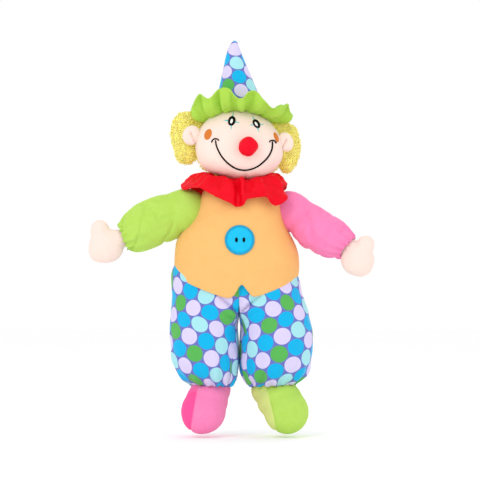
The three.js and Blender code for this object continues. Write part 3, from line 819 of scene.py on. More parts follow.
class Finish(Enum):
    """The finishes of the puppet's pieces."""

    VEST = Velour("orange_velour", "#f5c079", "#efb468", "#ffdcae", contrast=0.4, sheen=0.15)
    SKIN = Velour("peach_velour", "#f7e3da", "#f3d8cd", "#fff0ea", contrast=0.3, brushed_mm=30, sheen=0.2)
    LIME = Velour("lime_velour", "#bcdf69", "#a9d24f", "#dff29a", "#cfdd82", contrast=0.45, sheen=0.2)
    PINK = Velour("pink_velour", "#f98dbf", "#f277b0", "#ffc4de", "#fb4f98", contrast=0.45, sheen=0.2)
    HAT_LIME = Velour(
        "lime_satin_velour", "#b2dd55", "#9ccb3a", "#d2f08a", contrast=0.4, roughness=0.6, sheen=0.1)
    RED = Velour(
        "red_velour", "#f60022", "#d60016", "#ff5a70", contrast=0.5, roughness=0.5, sheen=0.0, gloss=0.12)
    NOSE = Velour(
        "scarlet_velour", "#f4002a", "#de001c", "#ff6f80", contrast=0.4, roughness=0.5, sheen=0.0, gloss=0.12)
    PRINT = DotPrint()
    PILE = CurlyPile()
    BLACK = SatinStitch("black_thread", "#12100f", "#040404", roughness=0.75, gloss=0.1)
    WHITE = SatinStitch("white_thread", "#ffffff", "#e4e4e4")
    TEAL = SatinStitch("teal_thread", "#6fcfcf", "#4bb0b4")
    ORANGE = SatinStitch("orange_thread", "#e0801c", "#c9650c")
    BLUE_RIM = SatinStitch("blue_thread", "#2ba9cf", "#2498bd")
    FELT = Velour(
        "blue_felt", "#14c6f3", "#06b2e4", "#9fe8ff", contrast=0.5, pile_mm=0.9, brushed_mm=6, roughness=0.75)
    LINING = Cotton("cotton_lining", "#f6efdf", "#d9cfba")
    ELASTIC = Cotton("woven_elastic", "#efece4", "#cfcabd", thread_mm=1.6)


_MADE: dict[Finish, bpy.types.Material] = {}


def dress(piece: bpy.types.Object, finish: Finish) -> bpy.types.Object:
    """Gives a piece its finish, made once and shared."""
    if finish not in _MADE:
        _MADE[finish] = finish.value.material()
    piece.data.materials.clear()
    piece.data.materials.append(_MADE[finish])
    return piece


def sew(
    piece: bpy.types.Object, finish: Finish, slot: str, body: str | None, *nodes: str
) -> bpy.types.Object:
    """Finishes a piece: its material, its body and the nodes it stands for.

    Args:
        piece: The piece.
        finish: Its finish.
        slot: The record's material slot; not used.
        body: The body it rides on, or None for a piece that lies between two, which is left on no body.
        *nodes: The nodes that it stands for.

    Returns:
        The piece.
    """
    dress(piece, finish)
    if nodes:
        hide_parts(*nodes)
    if body:
        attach(piece, body)
    LOG.info("%s: %d faces", piece.name, len(piece.data.polygons))
    return piece


# ------------------------------------------------------------------ vest, button and lining
@dataclass
class Vest:
    """The orange vest: a stuffed body of a front and a back panel, with the hand's opening behind."""

    half_width: Table = (
        (150, 60), (162, 65), (172, 67.5), (180, 68.8), (190, 69.9), (205, 69.2), (212, 68), (220, 65.6),
        (228, 61.6), (236, 56.5), (244, 52), (252, 49), (262, 46), (275, 41), (284, 33), (290, 22), (293, 12))
    middle: Table = (
        (150, -2.5), (180, -2.6), (205, -2.8), (212, -3.4), (220, -4.4), (228, -4.6), (236, -3.2),
        (244, -1.6), (252, -0.4), (262, 0.5), (293, 0))
    half_depth: Table = (
        (150, 43), (172, 46), (190, 48), (210, 47), (230, 44), (250, 40), (265, 36.5), (278, 31),
        (286, 22), (293, 10))
    hem: Table = (
        (-72, 187), (-69, 179.5), (-61, 174.3), (-43, 165.5), (-27, 159.4), (-12.9, 155.8), (-6, 158.5),
        (3, 171), (10, 163.5), (17.6, 157.3), (35.5, 162.2), (53.5, 170.5), (66, 178))
    back_hem: float = 172.0
    opening_height: float = 197.0
    opening_half: tuple[float, float] = (34.0, 19.0)
    top: float = 292.0
    squareness: float = 0.94
    cloth: float = 1.4
    hem_share: float = 0.09

    def surface(self, turn: np.ndarray, z: np.ndarray, proud: float = 0.0) -> np.ndarray:
        """Points on the vest.

        Args:
            turn: The way round from the front middle, in turns of a circle.
            z: The height.
            proud: How far outside the cloth.

        Returns:
            The points, one per row.
        """
        angle = turn * math.tau
        wide, deep = smooth(self.half_width, z) + proud, smooth(self.half_depth, z) + proud
        x = smooth(self.middle, z) + wide * power(np.sin(angle), self.squareness)
        y = -deep * power(np.cos(angle), self.squareness)
        return np.stack([x, y, z], axis=-1)

    def panel(self, name: str, centre: float) -> bpy.types.Object:
        """One panel, from side seam to side seam, its hem turned under.

        Args:
            name: The piece's name.
            centre: The turn at its middle: 0 for the front and a half for the back.

        Returns:
            The panel.
        """
        front = centre == 0
        reach = 0.2505  # a quarter turn and a hair, so that the panels meet

        def place(u: np.ndarray, v: np.ndarray) -> tuple[np.ndarray, ...]:
            turn = centre + (u - 0.5) * 2 * reach
            edge = self.surface(turn, np.full_like(u, 175.0))
            low = smooth(self.hem, edge[:, 0]) if front else np.full_like(u, self.back_hem)
            if not front:
                side = np.clip((np.abs(edge[:, 0]) - 45) / 22, 0, 1)
                low = low + side**2 * 6.5
            under = np.clip((self.hem_share - v) / self.hem_share, 0, 1)
            rise = np.clip((v - self.hem_share) / (1 - self.hem_share), 0, 1)
            z = low + (self.top - low) * rise + under * 9
            p = self.surface(turn, z, self.cloth)
            inward = np.array([0.04, 0.09, 0])[None, :] * p * -1
            p = p + inward * np.sin(np.clip(under * 2.2, 0, 1) * math.pi / 2)[:, None]
            p[:, 2] -= np.where(under > 0, np.sin(under * math.pi) * 2.2, 0)
            seam = groove(np.minimum(u, 1 - u) * 150, 3.2)
            p[:, 1] += np.where(front, 1, -1) * seam * 0.6
            pull = unevenness(p, 38, 5) * 0.9 + unevenness(p, 17, 6) * 0.35
            p[:, 1] += pull * (1 - seam) * (1 if front else -1) * 0.8
            return p[:, 0], p[:, 1], p[:, 2]

        return cloth_grid(name, 96, 84, place, (150, 130))

    def hole(self, panel: bpy.types.Object) -> None:
        """Cuts the hand's opening out of the back panel and pulls its edge to the oval."""
        points = points_of(panel)
        a = points[:, 0] / self.opening_half[0]
        b = (points[:, 2] - self.opening_height) / self.opening_half[1]
        away = np.hypot(a, b)
        mesh = bmesh.new()
        mesh.from_mesh(panel.data)
        mesh.verts.ensure_lookup_table()
        gone = [face for face in mesh.faces if max(away[v.index] for v in face.verts) < 1.0]
        bmesh.ops.delete(mesh, geom=gone, context="FACES")
        for vertex in mesh.verts:
            x, above = vertex.co.x / MM, (vertex.co.z - SOLE_Z) / MM - self.opening_height
            share = math.hypot(x / self.opening_half[0], above / self.opening_half[1])
            if vertex.is_boundary and 0.7 < share < 1.3:
                vertex.co.x = x / share * MM
                vertex.co.z = SOLE_Z + (self.opening_height + above / share) * MM
        mesh.to_mesh(panel.data)
        mesh.free()

    def binding(self) -> bpy.types.Object:
        """The folded strip sewn round the hand's opening."""

        def place(u: np.ndarray, v: np.ndarray) -> tuple[np.ndarray, ...]:
            round_ = u * math.tau
            section = v * math.tau
            out = 1.8 + np.cos(section) * 2.6 + np.sin(u * math.tau * 34) * 0.12
            x = np.cos(round_) * (self.opening_half[0] + out)
            z = self.opening_height + np.sin(round_) * (self.opening_half[1] + out)
            wide, deep = smooth(self.half_width, z) + self.cloth, smooth(self.half_depth, z) + self.cloth
            share = np.abs((x - smooth(self.middle, z)) / wide)
            flat = np.clip(1 - share ** (2 / self.squareness), 0, 1) ** (self.squareness / 2)
            y = deep * flat + 0.2 + np.sin(section) * 1.9
            return x, y, z

        return cloth_grid("opening_edge", 140, 14, place, (170, 16), closed=True)

    def bag(self) -> bpy.types.Object:
        """The lining bag that the hand goes into."""

        def place(u: np.ndarray, v: np.ndarray) -> tuple[np.ndarray, ...]:
            round_ = u * math.tau
            depth = np.sin(np.clip(v, 0, 1) * math.pi / 2)
            shrink = np.cos(np.clip((v - 0.55) / 0.45, 0, 1) * math.pi / 2) ** 0.8
            x = np.cos(round_) * (self.opening_half[0] + 0.6 + 3 * np.sin(v * math.pi)) * shrink
            z = self.opening_height + v * 10 + np.sin(round_) * (self.opening_half[1] + 0.6 + 12 * v) * shrink
            y = 46.5 - depth * 61 - np.abs(x) * 0.12 * (1 - v)
            crease = np.sin(round_ * 9 + v * 4) * 0.8 * np.sin(v * math.pi)
            return x * (1 + crease / 60), y, z + crease

        return cloth_grid("lining_bag", 72, 40, place, (175, 92), closed=True)

    def build(self) -> None:
        """Makes the vest, its opening and its lining."""
        front = self.panel("vest_front_panel", 0.0)
        back = self.panel("vest_back_panel", 0.5)
        self.hole(back)
        sew(front, Finish.VEST, "vest", "torso", "vest_front", "belly_stuffing")
        sew(back, Finish.VEST, "vest", "torso", "vest_back")
        sew(self.binding(), Finish.VEST, "vest", "torso", "opening_binding")
        bag = sew(self.bag(), Finish.LINING, "lining", "torso", "hand_lining")


@dataclass
class Button:
    """The big embroidered button on the vest."""

    middle: tuple[float, float] = (0.7, 221.5)
    radius: float = 17.2
    holes: tuple[float, float] = (-2.9, 5.5)

    def build(self, front: bpy.types.Object) -> None:
        """Sews the button on the vest's front panel."""
        skin = Skin(front)
        disc = patch("button_disc", skin, self.middle, (self.radius - 1.2, self.radius - 1.2), 0, 1.6)
        sew(disc, Finish.FELT, "button", "torso", "button")
        x, z = self.middle
        r = self.radius - 1.3
        circle = [(x + math.cos(a) * r, z + math.sin(a) * r) for a in np.linspace(0, math.tau, 49)]
        rim = stitched_line("button_rim", skin, circle, 2.2, 2.0, taper=0)
        sew(rim, Finish.BLUE_RIM, "button", "torso")
        cloth = Skin(disc)
        for word, hole_x in zip(("right", "left"), self.holes):
            hole = patch(f"button_hole_{word}", cloth, (hole_x, z + 0.2), (1.7, 2.9), 0, 0.9)
            sew(hole, Finish.BLACK, "thread", "torso", f"button_stitch_{word}")


# ------------------------------------------------------------------ collar
@dataclass
class Collar:
    """The red floppy collar: a gathered band with points that lie on the vest."""

    edge: tuple[tuple[float, float, float, float], ...] = (
        (-170, 30, 36, 268), (-150, -24, 34, 276), (-130, -42, 26, 272), (-110, -58, 14, 282),
        (-92, -66, 2, 284.4), (-78, -63.6, -12, 278.5), (-64, -52, -26, 280.5), (-52, -43, -36, 279.8),
        (-38, -28.2, -43, 271.3), (-20, -10.5, -48.5, 263.4), (-6, -2.5, -50, 258.8), (4, 5.5, -50, 261.5),
        (14, 9, -47.5, 266.8), (32, 29.5, -43, 270), (45, 41, -38.5, 260.1), (60, 54.4, -28, 268.4),
        (74, 50, -17, 279), (88, 55, -2, 285.7), (104, 52, 14, 278), (122, 42, 26, 284), (142, 32, 34, 272),
        (160, 4, 39, 278))
    inner: float = 21.0
    foot: float = 287.0
    crest: float = 297.5

    def build(self) -> None:
        """Makes the collar and the band under it."""
        rows = np.array(self.edge)
        angles = rows[:, 0]

        def place(u: np.ndarray, v: np.ndarray) -> tuple[np.ndarray, ...]:
            degrees = (u - 0.5) * 360
            ex, ey, ez = (around(list(zip(angles, rows[:, k])), degrees) for k in (1, 2, 3))
            turn = np.radians(degrees)
            ix, iy = np.sin(turn) * self.inner, -np.cos(turn) * self.inner
            share = np.clip(v / 0.46, 0, 1)
            fall = np.clip((v - 0.34) / 0.66, 0, 1)
            out = 0.5 * share + 0.5 * np.clip((v - 0.3) / 0.7, 0, 1)
            x, y = ix + (ex - ix) * out, iy + (ey - iy) * out
            crest = self.crest - 8.2 * np.clip(np.cos(turn), 0, 1) ** 2 + np.sin(turn * 9 + 1) * 1.8
            z = self.foot + (crest - self.foot) * np.sin(share * math.pi / 2) ** 1.2
            z = z + (ez - z) * fall**1.35
            wave = np.sin(turn * 12 + 0.9 + 0.9 * np.sin(turn * 3)) + 0.35 * np.sin(turn * 23 + 2)
            fold = power(wave, 0.6) * np.sin(np.clip(v * 1.1 + 0.06, 0, 1) * math.pi) ** 0.8
            y = y - fold * 3.2 * np.cos(turn)
            x = x + fold * 3.2 * np.sin(turn)
            z = z + fold * 1.0 * (1 - v)
            deep = groove(degrees + 4, 5.0) * np.clip(v * 2.2, 0, 1)
            return x + deep * 1.5 * np.sign(degrees + 4), y + deep * 6.5, z

        collar = cloth_grid("collar_ruff", 220, 44, place, (330, 36), closed=False)
        edit(collar, lambda: bpy.ops.mesh.remove_doubles(threshold=SEWN_WITHIN))
        relief(collar, lambda p: unevenness(p, 13, 101) * 0.9 - 0.9 * creases(p, 20, 102))
        apply_modifier(collar, "SOLIDIFY", thickness=1.7 * MM, offset=0.0)
        subdivide(collar)
        sew(collar, Finish.RED, "collar", "torso", "collar_ruffle")

        def band(u: np.ndarray, v: np.ndarray) -> tuple[np.ndarray, ...]:
            turn, section = u * math.tau, v * math.tau
            r = self.inner + 0.5 + np.cos(section) * 2.2 + np.sin(turn * 24) * 0.3
            return np.sin(turn) * r, -np.cos(turn) * r, self.foot + np.sin(section) * 4.5

        foot = cloth_grid("collar_seam_band", 120, 14, band, (140, 20), closed=True)
        sew(foot, Finish.RED, "collar", "torso", "collar_band")


# ------------------------------------------------------------------ trousers
@dataclass
class TrouserLeg:
    """One half of the dotted trousers: it fills out at the hip and gathers at the ankle."""

    word: str
    outer: Table
    inner: Table
    top: float = 194.0
    cuff: float = 55.5
    half_depth: Table = (
        (52, 22), (56, 25.5), (62, 31), (70, 35), (82, 38), (100, 39.5), (120, 40.5), (140, 41.5),
        (155, 42), (170, 43.2), (180, 44.2), (196, 44))
    pleats: int = 15
    outer_share: float = 0.68
    turn: float = -14.0
    shift: tuple[float, float] = (0.0, 0.0)
    swing: tuple[float, float] = (176.0, 112.0)

    def place(self, u: np.ndarray, v: np.ndarray) -> tuple[np.ndarray, ...]:
        """Lays the half's cloth: a D beside the middle seam at the hip, an oval further down.

        Args:
            u: From the front seam round the outside and back, 0 to 1.
            v: From the ankle to the waist, 0 to 1.

        Returns:
            x, y and z in puppet millimetres.
        """
        side = SIDES[self.word]
        down = np.clip(v / 0.05, 0, 1)
        z = self.cuff + (self.top - self.cuff) * np.clip((v - 0.05) / 0.95, 0, 1)
        high = 1 / (1 + np.exp((160 - z) / 4.0))
        outside, inside = smooth(self.outer, z), smooth(self.inner, z)
        deep = smooth(self.half_depth, z)
        share = self.outer_share
        front = np.clip(u / share, 0, 1)
        back = np.clip((u - share) / (1 - share), 0, 1)
        on_outside = u <= share
        d_angle = front * math.pi
        round_by = 0.86 + 0.08 * high
        dx = np.where(on_outside, outside * power(np.sin(d_angle), round_by), -0.2)
        dy = np.where(on_outside, -deep * power(np.cos(d_angle), round_by + 0.03), deep * (1 - 2 * back))
        dx, dy = np.maximum(dx, -0.2), dy * (1 - 0.10 * groove(np.abs(dx), 4.0) * (1 - 0.6 * high))
        centre, reach = (outside + inside) / 2, (outside - inside) / 2
        e_angle = np.where(
            on_outside, -0.30 * math.pi + front * 1.6 * math.pi, 1.3 * math.pi + back * 0.4 * math.pi)
        ex = centre + reach * np.sin(e_angle)
        ey = -deep * np.cos(e_angle)
        low = 1 / (1 + np.exp((z - 131) / 5.5))
        x, y = dx + (ex - dx) * low, dy + (ey - dy) * low
        # gathers at the ankle and small ones under the hem
        around_leg = np.arctan2(x - centre, -y)
        fade = np.exp(-(z - self.cuff) / 13)
        gather = np.sin(around_leg * self.pleats + 0.8 * np.sin(around_leg * 3)) * fade * 0.105
        gather += np.sin(around_leg * 7 + 2.0 * side) * np.exp(-(z - self.cuff) / 30) * 0.03
        x = centre + (x - centre) * (1 + gather * low)
        y = y * (1 + gather)
        # the cloth creases where the leg meets the body
        begun = np.clip((x + 1) / 4, 0, 1)
        crease = groove((z - 141) - (x - 4) * 0.95, 2.6) * begun * np.clip((27 - x) / 14, 0, 1)
        crease += 0.5 * groove((z - 131) - (x - 4) * 0.5, 2.4) * begun * np.clip((22 - x) / 12, 0, 1)
        y = y - np.sign(y) * crease * 6.4
        z = z + np.where(z < 70, np.sin(around_leg * self.pleats + 1.2) * fade * 0.9, 0)
        # the waist lies lower behind, under the hand's opening
        waist = 177 + 17 * np.clip((x - 42) / 16, 0, 1) + (z - 177) * 0.01
        z = np.where(y > 0, np.minimum(z, waist), z)
        # the end of the cloth turns up inside the cuff
        x = centre + (x - centre) * (0.86 + 0.14 * down)
        y = y * (0.86 + 0.14 * down)
        z = z + (1 - down) * 6
        return side * x, y, z

    def build(self) -> bpy.types.Object:
        """Makes the half with its gathered cuff."""
        leg = cloth_grid(f"trouser_half_{self.word}", 140, 100, self.place, closed=True)
        turn_cut(leg, self.turn, self.shift, mirror=self.word == "right")
        points = points_of(leg)
        seam = (points[:, 2] < 60) | (points[:, 2] > 188) | (np.abs(points[:, 0]) < 1.5)
        stuff(leg, seam, 3.0, 1.5)
        relief(leg, lambda p: (unevenness(p, 34, 11) * 0.9 + unevenness(p, 15, 12) * 0.5)
               * np.clip((190 - p[:, 2]) / 20, 0, 1) * np.clip(np.abs(p[:, 0]) / 6, 0, 1))
        nodes = [f"trouser_leg_{self.word}", f"leg_stuffing_{self.word}"]
        if self.word == "right":
            nodes += ["trouser_seat", "seat_stuffing"]
        sew(leg, Finish.PRINT, "trousers", None, *nodes)
        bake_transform(leg)
        centre = SIDES[self.word] * float(smooth(self.outer, 57) + smooth(self.inner, 57)) / 2
        wide = float(smooth(self.outer, 57) - smooth(self.inner, 57)) / 2

        def ring(u: np.ndarray, v: np.ndarray) -> tuple[np.ndarray, ...]:
            turn, section = u * math.tau, v * math.tau
            thick = 1 + np.cos(section) * 1.2 + 0.3 * np.sin(turn * 30)
            return (centre + np.sin(turn) * (wide - 4.5 + thick), -np.cos(turn) * (20 + thick),
                    self.cuff + 2.6 + np.sin(section) * 2.2)

        cuff = cloth_grid(f"ankle_elastic_band_{self.word}", 120, 12, ring, (150, 10), closed=True)
        sew(cuff, Finish.ELASTIC, "elastic", f"{self.word}_leg", f"ankle_elastic_{self.word}")
        return leg


# ------------------------------------------------------------------ arms and hands
@dataclass
class Arm:
    """A stuffed sleeve with a gathered cuff and a mitten hand with one thumb."""

    word: str
    direction: tuple[float, float, float]
    upside: tuple[float, float, float]
    finish: Finish
    slot: str
    balls: tuple[Ball, ...]
    shoulder: tuple[float, float, float] = (60, 0, 254)
    lifted: float = 1.0
    thin: float = 0.0
    fullness: float = 1.0
    radius: Table = (
        (0, 26.4), (6, 26.4), (12, 26.0), (25, 26.8), (38, 27.2), (50, 26.8), (60, 25), (66, 22.8),
        (71, 20.3), (75, 17.5), (78, 15.2), (80, 14.0))
    lift: Table = ((0, 0), (18, 1.4), (36, 2.6), (55, 1.6), (70, 0), (80, 0))
    pleats: int = 13
    length: float = 79.0

    def axes(self) -> tuple[np.ndarray, np.ndarray, np.ndarray]:
        """The arm's own directions: its upside, its front side and along it."""
        along = np.array(self.direction) / np.linalg.norm(self.direction)
        up = np.array(self.upside, dtype=float)
        up -= along * (up @ along)
        up /= np.linalg.norm(up)
        ahead = np.cross(up, along) * SIDES[self.word]
        return up, ahead, along

    def place(self, u: np.ndarray, v: np.ndarray) -> tuple[np.ndarray, ...]:
        """Lays the sleeve: a ball at the shoulder runs out into the arm and is gathered at the wrist.

        Args:
            u: Round the arm, 0 to 1.
            v: From the shoulder to the wrist, 0 to 1; the ball ends at 0.2.

        Returns:
            x, y and z in puppet millimetres.
        """
        up, ahead, along = self.axes()
        turn = u * math.tau
        ball = np.clip(v / 0.2, 0, 1)
        root = float(smooth(self.radius, 0))
        run = np.clip((v - 0.2) / 0.75, 0, 1)
        s = np.where(v < 0.2, -root * np.cos(ball * math.pi / 2) * 0.98, run * self.length)
        r = np.where(v < 0.2, root * np.sin(ball * math.pi / 2), smooth(self.radius, s)) * self.fullness
        fade = np.exp(-(self.length - s) / 9.5) * np.where(v < 0.2, 0, 1)
        pleat = np.sin(turn * self.pleats + 0.9 * np.sin(turn * 2))
        r = r * (1 + 0.13 * fade * pleat)
        s = s + fade * np.sin(turn * self.pleats + 1.3) * 0.9
        # the crease in the armpit and over the shoulder
        start = np.exp(-((s - 13) / 5.0) ** 2)
        r = r - start * (0.25 + 2.2 * np.clip(-np.cos(turn), 0, 1) ** 2)
        r = r - self.thin * np.exp(-((s / 24) ** 2))
        r = r - 1.2 * np.exp(-((s - 24) / 3.4) ** 2) * np.clip(-np.cos(turn + 0.5), 0, 1) ** 3
        # the end of the sleeve turns in
        end = np.clip((v - 0.95) / 0.05, 0, 1)
        s = s - np.sin(end * math.pi / 2) * 6 + np.sin(end * math.pi) * 1.2
        r = r * (1 - 0.22 * end)
        raised = smooth(self.lift, np.clip(s, 0, 80)) * np.where(v < 0.2, 0, self.lifted)
        flat = 0.8 + 0.2 * np.clip((s + 2) / 34, 0, 1) ** 1.2
        p = np.array(self.shoulder) * np.array([SIDES[self.word], 1, 1])
        p = p + s[:, None] * along + (r * np.cos(turn) + raised)[:, None] * up
        p = p + (r * np.sin(turn) * flat)[:, None] * ahead
        return p[:, 0], p[:, 1], p[:, 2]

    def build(self) -> None:
        """Makes the sleeve, its cuff and the hand."""
        _, _, along = self.axes()
        pivot = np.array(self.shoulder) * np.array([SIDES[self.word], 1, 1])
        sleeve = cloth_grid(f"sleeve_cloth_{self.word}", 104, 84, self.place, (170, 110), closed=True)
        reach = (points_of(sleeve) - pivot) @ along
        stuff(sleeve, (reach < 14) | (reach > 68), 2.5, 1.5)
        relief(sleeve, lambda p: (
            unevenness(p, 30, 21) + unevenness(p, 13, 22) * 0.5 - 1.9 * creases(p, 34, 23))
            * np.clip(((p - pivot) @ along - 8) / 12, 0, 1))
        sew(sleeve, self.finish, self.slot, None, f"sleeve_head_{self.word}", f"sleeve_{self.word}",
            f"arm_stuffing_{self.word}")
        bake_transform(sleeve)
        up, ahead, _ = self.axes()

        def ring(u: np.ndarray, v: np.ndarray) -> tuple[np.ndarray, ...]:
            turn, section = u * math.tau, v * math.tau
            r = 11.4 + np.cos(section) * 1.1 + 0.2 * np.sin(turn * 24)
            s = self.length - 3 + np.sin(section) * 2.0
            p = pivot + s[:, None] * along + (r * np.cos(turn))[:, None] * up
            p = p + (r * np.sin(turn))[:, None] * ahead
            return p[:, 0], p[:, 1], p[:, 2]

        cuff = cloth_grid(f"cuff_elastic_band_{self.word}", 96, 12, ring, (75, 9), closed=True)
        sew(cuff, Finish.ELASTIC, "elastic", f"{self.word}_arm", f"cuff_elastic_{self.word}")
        self.hand()

    def hand(self) -> None:
        """Makes the mitten: a flat stuffed palm with a thumb, seamed round its edge."""
        hand = merged_balls(f"mitten_{self.word}", self.balls, 1.7, 6)
        _, _, along = self.axes()
        wrist = np.array(self.shoulder) * np.array([SIDES[self.word], 1, 1]) + along * (self.length + 2)
        stuff(hand, (points_of(hand) - wrist) @ along < 3, 1.6, 3.0)
        middle = np.array(self.balls[1].middle)
        forward = np.array([0.0, -1.0, 0.0])
        relief(hand, lambda p: unevenness(p, 18, 31) * 0.35 - 0.8 * groove((p - middle) @ forward, 0.9))
        subdivide(hand)
        sew(hand, Finish.SKIN, "skin", f"{self.word}_hand", f"hand_{self.word}", f"hand_stuffing_{self.word}")


# ------------------------------------------------------------------ shoes
@dataclass
class Shoe:
    """A soft stuffed shoe, turned out, with a seam over its toe."""

    word: str
    finish: Finish
    slot: str
    splay: float
    seam_offset: float
    heel_x: float
    heel_half: float
    toe_x: float
    toe_half: float
    pitch: float = 50.0
    ankle: tuple[float, float, float] = (37, 0, 51)

    def build(self) -> None:
        """Makes the shoe's upper and sole."""
        side = SIDES[self.word]
        pitch, splay = math.radians(self.pitch), math.radians(self.splay)
        level = math.cos(pitch)
        toe = np.array([side * math.sin(splay) * level, -math.cos(splay) * level, -math.sin(pitch)])
        ankle = np.array(self.ankle) * np.array([side, 1, 1])
        toe_middle = ankle + toe * 30.5
        toe_middle[0] = self.toe_x * side
        heel = np.array([self.heel_x * side, ankle[1], ankle[2] - 0.5])
        middle = (toe_middle + heel) / 2
        balls = [
            Ball(tuple(heel), (self.heel_half, 21.5, 21.0)),
            Ball(tuple(middle), ((self.heel_half + self.toe_half) / 2, 20.5, 24.0), tuple(toe)),
            Ball(tuple(toe_middle), (self.toe_half, 19.8, 30.0), tuple(toe)),
        ]
        shoe = merged_balls(f"shoe_upper_cloth_{self.word}", balls, 2.0, 10)
        points = points_of(shoe)
        low = points[:, 2] < 0.8
        points[low, 2] = 0.8 + (points[low, 2] - 0.8) * 0.15
        top = points[:, 2] > 62
        points[top, 2] = 62 + (points[top, 2] - 62) * 0.3
        set_points(shoe, points)
        stuff(shoe, points[:, 2] > 50, 1.6, 3.0)
        across = np.cross(toe, (0.0, -1.0, 0.35))
        across /= np.linalg.norm(across)
        across *= np.sign(across[0])

        def seams(p: np.ndarray) -> np.ndarray:
            toe_seam = groove((p - toe_middle) @ across - self.seam_offset, 1.1) * (p[:, 1] < ankle[1])
            return unevenness(p, 22, 41) * 0.5 - 1.1 * toe_seam * np.clip((44 - p[:, 2]) / 10, 0, 1)

        subdivide(shoe)
        relief(shoe, seams)
        mark_nap(shoe, lambda p: np.clip(0.5 - ((p - toe_middle) @ across - self.seam_offset) / 1.6, 0, 1)
                 * np.clip((58 - p[:, 2]) / 10, 0, 1))
        body = f"{self.word}_shoe"
        sew(shoe, self.finish, self.slot, body, f"shoe_upper_{self.word}", f"shoe_stuffing_{self.word}")
        under = np.cross(toe, across)
        under *= -np.sign(under[2])
        middle = toe_middle - toe * 1.5

        def sole(u: np.ndarray, v: np.ndarray) -> tuple[np.ndarray, ...]:
            out = 1 - np.abs(2 * v - 1)
            a, b = np.cos(u * math.tau) * 27.0 * out, np.sin(u * math.tau) * 18.5 * out
            bulge = np.sqrt(np.clip(1 - out**2 * 0.62, 0, 1))
            height = 14.2 * bulge + np.where(v > 0.5, 2.2, -0.6) * np.clip(1 - out**6, 0, 1)
            p = middle + a[:, None] * toe + b[:, None] * across + height[:, None] * under
            p[:, 2] = np.maximum(p[:, 2], 0.3)
            return p[:, 0], p[:, 1], p[:, 2]

        pad = cloth_grid(f"shoe_sole_pad_{self.word}", 56, 24, sole, (150, 60), closed=True)
        sew(pad, self.finish, self.slot, body, f"shoe_sole_{self.word}")


